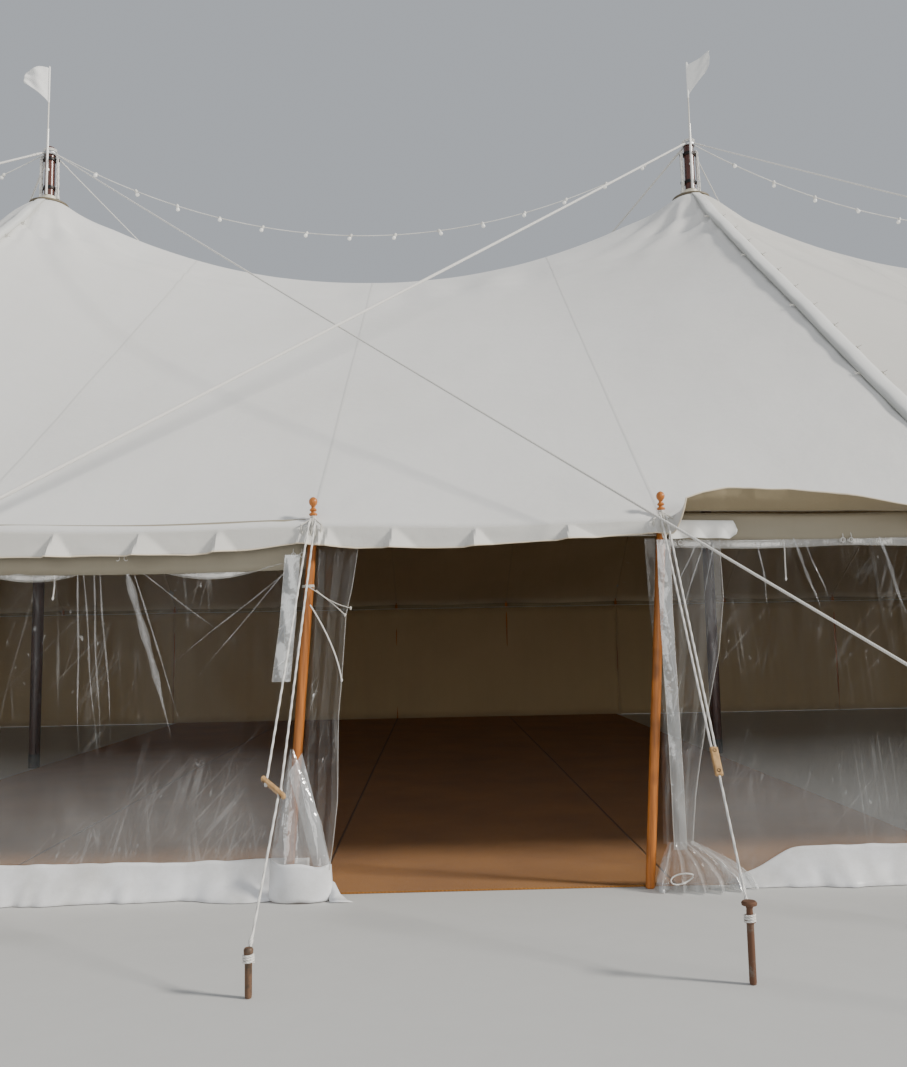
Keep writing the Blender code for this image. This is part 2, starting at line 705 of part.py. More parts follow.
def wall_rope(start, end):
    """The rope that the walls hang from, held by the poles behind it."""
    return swept([(*start, WALL_ROPE_HEIGHT), (*end, WALL_ROPE_HEIGHT)], WALL_ROPE_RADIUS, ROPE_SIDES)


def build_side_poles(finish, along, across):
    """Rows of side poles, each joined by its wall rope, and the two door poles."""
    rope_x, rope_y = END_X - ROPE_INSET, HALF_WIDTH - ROPE_INSET
    rows = {
        "front_left": (-1, [x for x in along if x < DOOR_LEFT_X - POLE_SPACING / 2],
                       -END_X, DOOR_LEFT_X - CLEAR_OF_POLE),
        "front_right": (-1, [x for x in along if x > DOOR_RIGHT_X + POLE_SPACING / 2],
                        DOOR_RIGHT_X + CLEAR_OF_POLE, END_X),
        "back": (1, along, -END_X, END_X),
    }
    for name, (side, places, start, end) in rows.items():
        pieces = [wall_rope((start, side * rope_y), (end, side * rope_y))]
        for x in places:
            pieces += side_pole(x, side * HALF_WIDTH)
        fuse(f"side_poles_{name}", pieces, finish)
    stop = rope_y - WALL_ROPE_RADIUS - GAP
    for name, side in (("left", -1), ("right", 1)):
        pieces = [wall_rope((side * rope_x, -stop), (side * rope_x, stop))]
        for y in across:
            pieces += side_pole(side * END_X, y)
        fuse(f"side_poles_end_{name}", pieces, finish)

    door_rope = wall_rope((DOOR_LEFT_X - SIDE_RADIUS / 2, -rope_y), (DOOR_RIGHT_X - CLEAR_OF_POLE, -rope_y))
    left = side_pole(DOOR_LEFT_X, -HALF_WIDTH, DOOR_POLE_LEAN, turned_finial=True)
    right = side_pole(DOOR_RIGHT_X, -HALF_WIDTH, DOOR_POLE_LEAN, turned_finial=True)
    fuse("door_pole_left", left + [door_rope], finish)
    fuse("door_pole_right", right, finish)


def build_guys(finish, along, across):
    """Guys from the eave to the stakes, each side's joined by its eave rope."""
    line, end_line = HALF_WIDTH + EAVE_ROPE_LINE, END_X + EAVE_ROPE_LINE
    level = FOLD_HEIGHT - EAVE_ROPE_DROP
    left_break, right_break = DOOR_LEFT_X - POLE_SPACING / 2, DOOR_RIGHT_X + POLE_SPACING / 2
    rows = {
        "front_left": (-1, [x for x in along if x < left_break], -FOLD_X, left_break),
        "front_right": (-1, [x for x in along if x > right_break], right_break, FOLD_X),
        "back": (1, along, -FOLD_X, FOLD_X),
    }
    for name, (side, places, start, end) in rows.items():
        pieces = [eave_rope((start, side * line, level), (end, side * line, level))]
        for x in places:
            pieces += guy(x, side * HALF_WIDTH, (0, side))
        fuse(f"guys_{name}", pieces, finish)
    for name, side in (("left", -1), ("right", 1)):
        pieces = [eave_rope((side * end_line, -HALF_WIDTH, level), (side * end_line, HALF_WIDTH, level))]
        for y in across:
            pieces += guy(side * END_X, y, (side, 0))
        fuse(f"guys_end_{name}", pieces, finish)

    middle = (DOOR_LEFT_X + DOOR_RIGHT_X) / 2
    doors = {
        "left": (DOOR_LEFT_X, left_break + GAP, middle, LEFT_STAKE_HEIGHT, LEFT_SLIDER_TILT),
        "right": (DOOR_RIGHT_X, middle + GAP, right_break - GAP, RIGHT_STAKE_HEIGHT, 0.0),
    }
    for name, (x, start, end, height, tilt) in doors.items():
        pieces = [eave_rope((start, -line, level), (end, -line, level))]
        pieces += guy(x, -HALF_WIDTH, (0, -1), DOOR_STAKE_SHIFT, height, headed=True, tilt=tilt)
        fuse(f"guy_door_{name}", pieces, finish)


def build_walls(finish):
    """Clear walls along the front, cloth walls round the back and ends, and the door curtains."""
    half = WALL_THICKNESS / 2
    wall_x, wall_y = END_X - WALL_INSET, HALF_WIDTH - WALL_INSET
    panels = {
        "wall_front_left": (-1, -wall_x - half, DOOR_LEFT_X - CLEAR_OF_POLE, "clear"),
        "wall_front_right": (-1, DOOR_RIGHT_X + CLEAR_OF_POLE, wall_x + half, "clear"),
        "wall_back": (1, -wall_x - half, wall_x + half, "cream"),
    }
    for name, (side, start, end, kind) in panels.items():
        near, far = sorted((side * (wall_y - half), side * (wall_y + half)))
        place(name, block((start, near, 0), (end, far, WALL_TOP)), finish[kind])
    stop = INSIDE_Y - GAP
    for name, side in (("left", -1), ("right", 1)):
        near, far = sorted((side * (wall_x - half), side * (wall_x + half)))
        place(f"wall_end_{name}", block((near, -stop, 0), (far, stop, WALL_TOP)), finish["cream"])
    place("door_curtain_left", curtain(DOOR_LEFT_X, 1), finish["clear"])
    place("door_curtain_right", curtain(DOOR_RIGHT_X, 1), finish["clear"])


def build():
    """Model every piece of the marquee."""
    for old in list(bpy.data.objects):
        bpy.data.objects.remove(old)
    finish = finishes()
    along, across = side_pole_places()
    build_canvas(finish["canvas"], along, across)
    build_king_lines(finish)
    build_side_poles(finish["varnished"], along, across)
    build_guys(finish["rope"], along, across)
    build_walls(finish)
    mat_x = BAY_LENGTH / 2 - KING_RADIUS - GAP
    mat_y = INSIDE_Y - GAP
    place("floor_matting", block((-mat_x, -mat_y, 0), (mat_x, mat_y, MAT_THICKNESS)), finish["coir"])


build()
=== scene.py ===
"""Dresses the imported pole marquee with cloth, clear sheet, timber, ropes and lamps.

Every size is in metres. X runs along the ridge, the doorway faces -Y and the ground is Z = 0.
"""

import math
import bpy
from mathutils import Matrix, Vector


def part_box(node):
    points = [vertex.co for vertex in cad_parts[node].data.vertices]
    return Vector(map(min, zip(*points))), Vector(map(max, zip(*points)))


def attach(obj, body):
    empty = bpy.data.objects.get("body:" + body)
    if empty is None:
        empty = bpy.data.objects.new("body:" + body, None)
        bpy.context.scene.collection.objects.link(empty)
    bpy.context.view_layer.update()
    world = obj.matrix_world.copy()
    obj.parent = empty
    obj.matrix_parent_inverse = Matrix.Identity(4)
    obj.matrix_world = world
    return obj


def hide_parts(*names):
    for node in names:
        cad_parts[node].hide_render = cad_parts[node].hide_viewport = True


bl_info = {
    "name": "Pole Marquee",
    "version": (1, 0, 0),
    "blender": (4, 5, 0),
    "location": "View3D > Sidebar > Marquee",
    "description": "Builds the cloth, timber, ropes and lamps of a pole marquee over its packed solids",
    "category": "Object",
}

import bpy
import numpy as np
from bpy.props import FloatProperty, FloatVectorProperty, IntProperty, PointerProperty
from bpy.types import Operator, Panel, PropertyGroup
from mathutils import Matrix, Vector, noise

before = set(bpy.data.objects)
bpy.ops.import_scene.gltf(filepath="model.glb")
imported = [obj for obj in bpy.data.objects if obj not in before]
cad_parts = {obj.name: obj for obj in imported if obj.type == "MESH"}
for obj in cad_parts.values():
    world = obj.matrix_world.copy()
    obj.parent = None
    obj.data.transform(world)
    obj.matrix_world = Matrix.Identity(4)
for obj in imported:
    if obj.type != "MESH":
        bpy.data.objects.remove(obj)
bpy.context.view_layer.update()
BODY = "root"


def middle(node):
    """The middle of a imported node's box."""
    low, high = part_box(node)
    return (low + high) / 2


KINGS = [middle(f"king_pole_{n}").x for n in (1, 2, 3, 4)]
KING_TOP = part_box("king_pole_1")[1].z
KING_RADIUS = 0.065
FOLD_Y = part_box("canvas_bay_2")[1].y
FOLD_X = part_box("canvas_end_right")[1].x
BAY = 8.0
CROWN_Z = 6.93
RIDGE_Z = 5.79
RIDGE_POWER = 2.1
EAVE_Z = 2.08
HALF_WIDTH = 6.1
END_X = FOLD_X - FOLD_Y + HALF_WIDTH
FALL = (CROWN_Z - EAVE_Z) / HALF_WIDTH
FOLD_Z = CROWN_Z - FALL * FOLD_Y
VALANCE = 0.15
CROWN_HOLE = 0.12
END_SAG = 0.16
POLE_SPACING = 2.0
POLE_TOP = 2.04
END_STEP = 6.1 / 3
DOOR_XS = (0.0, POLE_SPACING)
DOOR_LEAN = 0.15
SIDE_RADIUS = 0.0275
WALL_Y = -middle("wall_front_left").y
WALL_X = middle("wall_end_right").x
WALL_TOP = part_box("wall_front_left")[1].z
ROPE_Z = 1.965
STAKE_LINE = 1.52
SLIDER_SHARE = 0.69
SIDE_XS = [-END_X + END_STEP * k for k in range(3)]
SIDE_XS += [KINGS[0] + POLE_SPACING * k for k in range(13)]
SIDE_XS += [KINGS[3] + END_STEP * (k + 1) for k in range(3)]
END_YS = [-HALF_WIDTH + 2 * HALF_WIDTH * k / 6 for k in range(1, 6)]
LACED_GAP = 0.0005
DOOR_GUY_SHIFT = 0.075
HEADER_Y = 6.083
PLATE_REACH = 0.23
PLATE_FALL = 0.42
PLATE_RIM_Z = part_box("crown_gear_2")[0].z
WHITE, BINDING = 0, 2
FINISHES = {}


def ease(value, low, high):
    """0 below low, 1 above high and smooth between."""
    share = np.clip((np.asarray(value, float) - low) / (high - low), 0.0, 1.0)
    return share * share * (3 - 2 * share)


def ripples(x, y, z, scale, seed, octaves=3):
    """Smooth seeded noise, about -1 to 1, at each point."""
    spots = weave(x, y, z) * scale + seed * 7.31
    flat = spots.reshape(-1, 3).tolist()
    values = [noise.fractal(spot, 0.7, 2.1, octaves, noise_basis="PERLIN_ORIGINAL") for spot in flat]
    return np.array(values).reshape(spots.shape[:-1])


def weave(*parts):
    """Points or texture places from rows and columns of numbers, stretched to one size."""
    return np.stack(np.broadcast_arrays(*parts), -1)


def runs(steps):
    """Distance from the start of a line to each of its points, from the lengths of its steps."""
    return np.concatenate([[0], np.cumsum(steps)])


def circle(sides):
    """Angles round a closed ring."""
    return np.linspace(0, 2 * math.pi, sides + 1)[:-1]


# Meshes


def cells(index):
    """The four corners of every cell of a net, from the numbers of its points."""
    return np.stack([index[:-1, :-1], index[:-1, 1:], index[1:, 1:], index[1:, :-1]], -1).reshape(-1, 4)


class Skin:
    """Gathers points, faces, texture places and finish numbers for one mesh."""

    def __init__(self):
        self.points, self.faces, self.corners, self.marks = [], [], [], []
        self.count = 0

    def take(self, points, faces, corners, mark):
        """Add points with faces that count from their first point."""
        points = np.asarray(points, float).reshape(-1, 3)
        self.points.append(points)
        self.faces += [tuple(index + self.count for index in face) for face in faces]
        self.corners.append(np.asarray(corners, float).reshape(-1, 2))
        self.marks += [mark] * len(faces)
        self.count += len(points)

    def net(self, points, places, mark=0, keep=None, turned=False):
        """A net of quads over rows and columns of points, with a texture place for each."""
        quads = cells(np.arange(points[..., 0].size).reshape(points.shape[:2]))
        if turned:
            quads = quads[:, ::-1]
        if keep is not None:
            quads = quads[keep.reshape(-1)]
        used, fresh = np.unique(quads, return_inverse=True)
        corners = places.reshape(-1, 2)[quads.reshape(-1)]
        self.take(points.reshape(-1, 3)[used], fresh.reshape(-1, 4).tolist(), corners, mark)

    def loft(self, rings, mark=0, tight=False, closed=False):
        """Rings of equal length joined into a skin that faces outwards, its ends capped or joined."""
        rings = np.asarray(rings, float)
        index = np.arange(rings[..., 0].size).reshape(rings.shape[:2])
        if closed:
            index = np.vstack([index, index[:1]])
        index = np.column_stack([index, index[:, 0]])
        grid = rings.reshape(-1, 3)[index]
        spine = grid[:, :-1].mean(axis=1, keepdims=True) if tight else grid[:, :-1]
        across = runs(np.linalg.norm(np.diff(grid, axis=1), axis=2).mean(axis=0))
        along = runs(np.linalg.norm(np.diff(spine, axis=0), axis=2).mean(axis=1))
        places = weave(across, along[:, None])
        corners = places.reshape(-1, 2)[cells(np.arange(index.size).reshape(index.shape))]
        groups = [(cells(index), corners)]
        if not closed:
            groups += [(index[:1, -2::-1], places[:1, -2::-1]), (index[-1:, :-1], places[-1:, :-1])]
        flat = rings.reshape(-1, 3) - rings[0, 0]
        volume = 0.0
        for faces, _ in groups:
            fan = flat[faces]
            volume += np.sum(fan[:, :1] * np.cross(fan[:, 1:-1], fan[:, 2:]))
        way = -1 if volume < 0 else 1
        faces = [face for faces, _ in groups for face in faces[:, ::way].tolist()]
        self.take(rings, faces, np.concatenate([spots[:, ::way].reshape(-1, 2) for _, spots in groups]), mark)

    def tube(self, line, radius, sides=8, mark=0, turns=0.0, flat=1.0, up=(0, 0, 1)):
        """A closed tube along a line; turns in each metre give it the twist of three-strand rope."""
        line = np.asarray(line, float)
        radius = np.broadcast_to(np.asarray(radius, float), (len(line),))
        ahead = np.gradient(line, axis=0)
        ahead /= np.linalg.norm(ahead, axis=1)[:, None]
        across = np.cross(ahead[0], up)
        if np.linalg.norm(across) < 1e-3:
            across = np.cross(ahead[0], (1.0, 0.0, 0.0))
        run = runs(np.linalg.norm(np.diff(line, axis=0), axis=1))
        angles = circle(sides)
        rings = []
        for n in range(len(line)):
            across = across - ahead[n] * np.dot(across, ahead[n])
            across = across / np.linalg.norm(across)
            above = np.cross(across, ahead[n])
            swell = 1 + 0.16 * np.cos(3 * (angles + turns * run[n])) if turns else np.ones(sides)
            ring = np.cos(angles)[:, None] * across + flat * np.sin(angles)[:, None] * above
            rings.append(line[n] + radius[n] * swell[:, None] * ring)
        self.loft(rings, mark, tight=True)

    def turned(self, profile, centre=(0, 0, 0), sides=24, mark=0, lean=0.0, closed=False):
        """A piece turned from (radius, height) pairs, foot first; lean moves its foot, closed bores it."""
        angles = circle(sides)
        rings = []
        for radius, height in profile:
            shift = -lean * (1 - height / POLE_TOP)
            rings.append(weave(centre[0] + shift + radius * np.cos(angles),
                               centre[1] + radius * np.sin(angles), centre[2] + height))
        self.loft(rings, mark, closed=closed)

    def slab(self, size, matrix, cut, mark=0):
        """A bar with its corners and edges cut, centred before the matrix places it."""
        half = np.array(size) / 2
        rings = []
        for level, shrink in ((-half[2], cut), (-half[2] + cut, 0), (half[2] - cut, 0), (half[2], cut)):
            wide, deep = half[0] - shrink, half[1] - shrink
            for sx, sy in ((1, 1), (-1, 1), (-1, -1), (1, -1)):
                pair = [(sx * wide, sy * (deep - cut)), (sx * (wide - cut), sy * deep)]
                rings += [matrix @ Vector((x, y, level)) for x, y in (pair if sx * sy > 0 else pair[::-1])]
        self.loft(np.reshape(rings, (4, 8, 3)), mark)

    def mesh(self, name, finishes, sharp=38.0):
        """The gathered skin as a smooth-shaded mesh with its finishes."""
        mesh = bpy.data.meshes.new(name)
        mesh.from_pydata(np.concatenate(self.points).tolist(), [], self.faces)
        layer = mesh.uv_layers.new(name="UVMap")
        layer.data.foreach_set("uv", np.concatenate(self.corners).ravel())
        mesh.polygons.foreach_set("material_index", self.marks)
        for finish in finishes:
            mesh.materials.append(FINISHES[finish])
        mesh.shade_smooth()
        mesh.set_sharp_from_angle(angle=math.radians(sharp))
        mesh.update()
        return mesh

    def piece(self, name, finishes, slot, *nodes, sharp=38.0):
        """The gathered skin as a finished piece of the marquee."""
        return dress(show(name, self.mesh(name, finishes, sharp)), slot, *nodes)


def show(name, data):
    """Put a mesh or curve in the scene as an object at the origin."""
    made = bpy.data.objects.new(name, data)
    bpy.context.scene.collection.objects.link(made)
    return made


def dress(piece, slot, *nodes):
    """Ride the piece on the marquee and hide the nodes that it stands for; slot is not used."""
    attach(piece, BODY)
    if nodes:
        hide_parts(*nodes)
    return piece


def thicken(piece, thickness, inner=0):
    """Give a sheet its thickness inwards, with another finish inside where inner says."""
    solid = piece.modifiers.new("Cloth thickness", "SOLIDIFY")
    solid.thickness = thickness
    solid.offset = -1.0
    solid.use_even_offset = False
    solid.material_offset = inner
    return piece


# Node trees


def add(tree, kind, inputs=None, **settings):
    """Add a node, with its settings and its linked or typed inputs."""
    node = tree.nodes.new(kind)
    for name, value in settings.items():
        setattr(node, name, value)
    for key, value in (inputs or {}).items():
        join(node.inputs[key], value)
    return node


def join(socket, value):
    """Link a value to a socket, or type a plain number or colour into it."""
    value = getattr(value, "socket", value)
    if isinstance(value, bpy.types.NodeSocket):
        socket.id_data.links.new(value, socket)
    elif socket.type == "RGBA":
        socket.default_value = (*value[:3], 1.0)
    else:
        socket.default_value = value


class Value:
    """A number or colour in a finish's node tree; plain sums with it add math nodes."""

    def __init__(self, socket):
        self.socket = socket

    def sum(self, operation, *others, clamp=False):
        """One math node."""
        inputs = dict(enumerate((self, *others)))
        made = add(self.socket.id_data, "ShaderNodeMath", inputs, operation=operation, use_clamp=clamp)
        return Value(made.outputs[0])

    def __add__(self, other):
        return self.sum("ADD", other)

    def __sub__(self, other):
        return self.sum("SUBTRACT", other)

    def __mul__(self, other):
        return self.sum("MULTIPLY", other)

    def __abs__(self):
        return self.sum("ABSOLUTE")

    def waves(self, rate):
        """A sine of the value, sped up by a rate."""
        return (self * rate).sum("SINE")

    def spread(self, low, high, to_low=0.0, to_high=1.0):
        """Map from one range to another, held at its ends."""
        inputs = {"Value": self, "From Min": low, "From Max": high, "To Min": to_low, "To Max": to_high}
        return Value(add(self.socket.id_data, "ShaderNodeMapRange", inputs, clamp=True).outputs[0])

    def line_at(self, middle, core, width):
        """1 within the core of a line at the middle, gone at a width to each side."""
        return abs(self - middle).spread(core, width, 1.0, 0.0)


class Finish:
    """A new material: its shader, the places that its patterns lie on, and the patterns."""

    def __init__(self, name):
        self.material = bpy.data.materials.new(name)
        self.material.use_nodes = True
        self.tree = self.material.node_tree
        self.shader = self.tree.nodes["Principled BSDF"]

    def cloth(self, across=1.0, along=1.0):
        """The piece's own texture place, stretched."""
        place = add(self.tree, "ShaderNodeUVMap", uv_map="UVMap").outputs[0]
        return add(self.tree, "ShaderNodeMapping",
                   {"Vector": place, "Scale": (across, along, 1.0)}).outputs[0]

    def slanted(self, lean, across, along):
        """The piece's own texture place turned by an angle, with its features' width and length."""
        place = add(self.tree, "ShaderNodeUVMap", uv_map="UVMap").outputs[0]
        inputs = {"Vector": place, "Rotation": (0.0, 0.0, math.radians(lean)), "Scale": (across, along, 1.0)}
        return add(self.tree, "ShaderNodeMapping", inputs, vector_type="TEXTURE").outputs[0]

    def body(self, *stretch):
        """The place in the marquee, stretched."""
        place = add(self.tree, "ShaderNodeTexCoord").outputs["Object"]
        inputs = {"Vector": place, "Scale": stretch or (1.0, 1.0, 1.0)}
        return add(self.tree, "ShaderNodeMapping", inputs).outputs[0]

    def split(self, place):
        """The numbers of a place."""
        return [Value(part) for part in add(self.tree, "ShaderNodeSeparateXYZ", {0: place}).outputs]

    def cloud(self, place, detail=3.0, rough=0.55, scale=1.0):
        """A grey noise value at the place."""
        inputs = {"Vector": place, "Scale": scale, "Detail": detail, "Roughness": rough}
        return Value(add(self.tree, "ShaderNodeTexNoise", inputs).outputs["Fac"])

    def blend(self, share, first, second):
        """Mix two colours by a share."""
        return Value(add(self.tree, "ShaderNodeMix", {0: share, 6: first, 7: second},
                         data_type="RGBA").outputs[2])

    def done(self, bumps=None, **values):
        """Set the shader's sockets, raise bumps from (height, strength, distance) and return the material."""
        if bumps:
            inputs = dict(zip(("Height", "Strength", "Distance"), bumps))
            values["normal"] = Value(add(self.tree, "ShaderNodeBump", inputs).outputs[0])
        for name, value in values.items():
            join(self.shader.inputs[name.replace("_", " ").title().replace("Ior", "IOR")], value)
        return self.material


def darker(colour, share):
    """A colour with a share of its light."""
    return tuple(share * part for part in colour)


def cloth_finish(name, colour, shade, seam_every=0.0, roughness=0.7, stain=0.5):
    """Woven cloth, with sewn seams across its first texture direction and rain marks down the second."""
    made = Finish(name)
    broad = made.cloud(made.cloth(), 5.0, 0.6, 0.35)
    streaks = made.cloud(made.cloth(5.0, 0.45), 4.0, 0.6)
    marks = broad.spread(0.42, 0.75) * stain + streaks.spread(0.5, 0.85, 0.0, 0.35 * stain)
    base = made.blend(marks, colour, shade)
    across, along, _ = made.split(made.cloth())
    height = across.waves(2400.0) * along.waves(2400.0) * 0.03 + made.cloud(made.cloth(), scale=9.0)
    height = height + made.cloud(made.cloth(), 4.0, scale=1.7) * 2.2
    if seam_every:
        beside = across.sum("PINGPONG", seam_every / 2)
        stitches = beside.line_at(0.012, 0.001, 0.003) * along.waves(500.0)
        height = height + beside.spread(0.006, 0.016, 1.0, 0.0) * 0.8 - stitches * 0.4
        base = made.blend(beside.spread(0.010, 0.020, 0.16, 0.0), base, darker(shade, 0.6))
    return made.done((height, 0.35, 0.01), base_color=base, sheen_weight=0.15, sheen_roughness=0.5,
                     roughness=broad.spread(0.3, 0.8, roughness - 0.06, roughness + 0.1))


def clear_finish(name, tint, cover, streak_highlights, crumple_and_glints=0.5, foot=0.0):
    """Clear vinyl: a thin film with its haze, painted highlight streaks and glints, and a painted reflection
    that turns it milky towards its foot.
    """
    made = Finish(name)
    broad = made.cloud(made.cloth(1.1, 0.5), 4.0)
    streaks = made.cloud(made.cloth(5.0, 0.5), 3.0, 0.5)
    patches = made.cloud(made.cloth(1.7, 1.3), 3.0, 0.6)
    specks = made.cloud(made.cloth(30.0, 13.0), 2.0, 0.6)
    crumbs = made.cloud(made.cloth(9.0, 7.0), 3.0, 0.6)
    # Painted highlight streaks: thin slanted bright lines that stand in for light caught along the film's
    # folds.
    lines = [made.cloud(made.slanted(*family), 2.0, 0.45).line_at(0.5, 0.0, 0.012)
             for family in ((-17.0, 0.13, 5.0), (6.0, 0.10, 4.0), (-44.0, 0.17, 6.0))]
    painted_streaks = lines[0].sum("MAXIMUM", lines[1]).sum("MAXIMUM", lines[2]) * patches.spread(0.48, 0.72)
    # Painted glints: small white specks where the film would catch the light.
    glints = specks.spread(0.66, 0.72) * patches.spread(0.50, 0.64, 0.0, crumple_and_glints)
    haze = broad.spread(0.40, 0.75, cover, 3.0 * cover) + streaks.spread(0.58, 0.80, 0.0, 2.2 * cover)
    height = made.split(made.cloth())[1]
    # Painted reflection: the film grows milky towards its foot, as much as foot says, for the surroundings
    # seen in it.
    low = height.spread(0.42, 0.82, foot, 0.0) * patches.spread(0.3, 0.7, 0.6, 1.0)
    slant = Value(add(made.tree, "ShaderNodeLayerWeight", {"Blend": 0.25}).outputs["Facing"])
    shown = painted_streaks * streak_highlights + haze + low + slant.sum("POWER", 3.0) * 0.35
    # The painted streaks and glints also whiten the colour and lower the metallic.
    bright = painted_streaks.sum("MAXIMUM", glints, clamp=True)
    return made.done((crumbs * crumple_and_glints + broad, 0.5, 0.03), alpha=shown.sum("ADD", glints, clamp=True),
                     base_color=made.blend(bright, tint, (0.95, 0.96, 0.96)),
                     metallic=bright.spread(0.0, 1.0, 0.5, 0.1), roughness=broad.spread(0.3, 0.8, 0.08, 0.22))


def cover_finish(name, colour, shade, girth):
    """Cloth of a padded lacing cover, darkened down both edges by painted shade; girth is its outline's
    length.
    """
    made = Finish(name)
    across = made.split(made.cloth())[0]
    worn = made.cloud(made.cloth(14.0, 2.0), 4.0, 0.6)
    # Painted shade: the rounded cover darkens towards both edges.
    edge_shade = (worn * 0.03 + abs(across - girth / 2)).spread(0.30 * girth, 0.56 * girth, 0.0, 0.8)
    return made.done((worn, 0.3, 0.01), base_color=made.blend(edge_shade, colour, shade),
                     roughness=worn.spread(0.3, 0.8, 0.5, 0.7))


def wood_finish(name, dark, light, roughness, coat):
    """Turned wood with a long grain up the pole."""
    made = Finish(name)
    grain = made.cloud(made.body(60.0, 60.0, 2.2), 5.0, 0.65)
    bands = made.cloud(made.body(9.0, 9.0, 0.8), 3.0, 0.5)
    knots = made.cloud(made.body(5.0, 5.0, 4.0), 2.0, 0.4)
    base = made.blend((grain * 0.6 + bands * 0.5).spread(0.42, 0.66), dark, light)
    base = made.blend(knots.spread(0.62, 0.72, 0.0, 0.6), base, darker(dark, 0.5))
    return made.done((grain, 0.2, 0.003), base_color=base, coat_weight=coat, coat_roughness=0.2,
                     roughness=grain.spread(0.3, 0.7, roughness, roughness + 0.15), specular_ior_level=0.35)


def rope_finish(name, colour, shade, pitch=0.03, girth=0.03):
    """Laid rope whose three strands wind round it, with painted shade in the grooves between them."""
    made = Finish(name)
    across, along, _ = made.split(made.cloth())
    strand = abs((along * (3.0 / pitch) + across * (3.0 / girth)).waves(math.pi))
    fibres = made.cloud(made.cloth(300.0, 900.0), 2.0)
    # Painted shade: the colour darkens towards the shade colour in the grooves between the strands.
    share = (fibres * 0.35).sum("ADD", strand.spread(0.0, 0.6, 0.75, 0.0), clamp=True)
    return made.done((fibres * 0.2 + strand, 0.7, 0.003), base_color=made.blend(share, colour, shade),
                     roughness=0.85, sheen_weight=0.2)


def metal_finish(name, colour, rust, rusted, roughness, metallic=1.0):
    """Iron or steel with its spangle and rust."""
    made = Finish(name)
    patches = made.cloud(made.body(), 5.0, 0.65, 18.0)
    specks = made.cloud(made.body(), scale=160.0)
    share = (specks * 0.3 + patches).spread(1.0 - rusted, 1.15 - rusted)
    return made.done((patches * 0.6 + specks, 0.35, 0.002), base_color=made.blend(share, colour, rust),
                     metallic=share.spread(0.0, 1.0, metallic, 0.1 * metallic),
                     roughness=share.spread(0.0, 1.0, roughness, 0.85))


def sheet_finish(name, colour, shade, roughness):
    """Smooth coated sheet, rubber or enamel with scuffs and dirt."""
    made = Finish(name)
    broad = made.cloud(made.body(), 5.0, 0.6, 4.0)
    fine = made.cloud(made.body(), scale=220.0)
    share = (fine * 0.25 + broad).spread(0.5, 0.95)
    return made.done((fine * 0.3 + broad, 0.25, 0.004), base_color=made.blend(share, colour, shade),
                     roughness=broad.spread(0.3, 0.8, roughness, roughness + 0.2))


def coir_finish(name, light, dark):
    """Woven coir matting in long strips with ribbed weave and loose fibre."""
    made = Finish(name)
    across, along, _ = made.split(made.body())
    hairs = made.cloud(made.body(90.0, 240.0, 1.0), 4.0, 0.7)
    broad = made.cloud(made.body(), 5.0, 0.6, 1.3)
    joint = across.sum("PINGPONG", 1.0).spread(0.0, 0.012, 1.0, 0.0)
    ribs = across.waves(2 * math.pi / 0.022) * along.waves(2 * math.pi / 0.014)
    base = made.blend((broad * 0.6 + hairs).spread(0.5, 1.1), light, dark)
    return made.done((ribs * 0.3 + hairs - joint * 2.0, 0.8, 0.006), roughness=0.95, sheen_weight=0.1,
                     base_color=made.blend(joint, base, darker(dark, 0.35)))


def lamp_finish(name, colour, glow):
    """Opal lamp glass with a faint glow."""
    made = Finish(name)
    cloudy = made.cloud(made.body(), 2.0, scale=60.0)
    return made.done(base_color=made.blend(cloudy, colour, darker(colour, 0.85)), roughness=0.22, ior=1.45,
                     emission_color=colour, emission_strength=glow)


def part_tree(name, source, extra, kind):
    """A tree for repeating a part, with its sockets; realise ends it."""
    tree = bpy.data.node_groups.new(name, "GeometryNodeTree")
    tree.is_modifier = True
    for title, sort in ((source, "Geometry"), ("Part", "Object"), (extra, kind), ("Finish", "Material")):
        tree.interface.new_socket(title, in_out="INPUT", socket_type="NodeSocket" + sort)
    tree.interface.new_socket("Parts", in_out="OUTPUT", socket_type="NodeSocketGeometry")
    given = add(tree, "NodeGroupInput").outputs
    part = add(tree, "GeometryNodeObjectInfo", {"Object": given["Part"]}, transform_space="ORIGINAL")
    return tree, given, part.outputs["Geometry"]


def realise(tree, finish, **placing):
    """Put the part on its points as real faces with their finish."""
    inputs = {name.title(): socket for name, socket in placing.items()}
    placed = add(tree, "GeometryNodeInstanceOnPoints", inputs).outputs[0]
    real = add(tree, "GeometryNodeRealizeInstances", {"Geometry": placed}).outputs[0]
    painted = add(tree, "GeometryNodeSetMaterial", {"Geometry": real, "Material": finish}).outputs[0]
    add(tree, "NodeGroupOutput", {"Parts": painted})
    return tree


def set_out_tree():
    """Puts one part on every point, turned by the point's own value."""
    tree, given, part = part_tree("set_out_on_points", "Points", "Size", "Float")
    turn = add(tree, "GeometryNodeInputNamedAttribute", {"Name": "turn"}, data_type="FLOAT_VECTOR").outputs[0]
    turned = add(tree, "FunctionNodeEulerToRotation", {0: turn}).outputs[0]
    return realise(tree, given["Finish"], points=given["Points"], instance=part, rotation=turned,
                   scale=given["Size"])


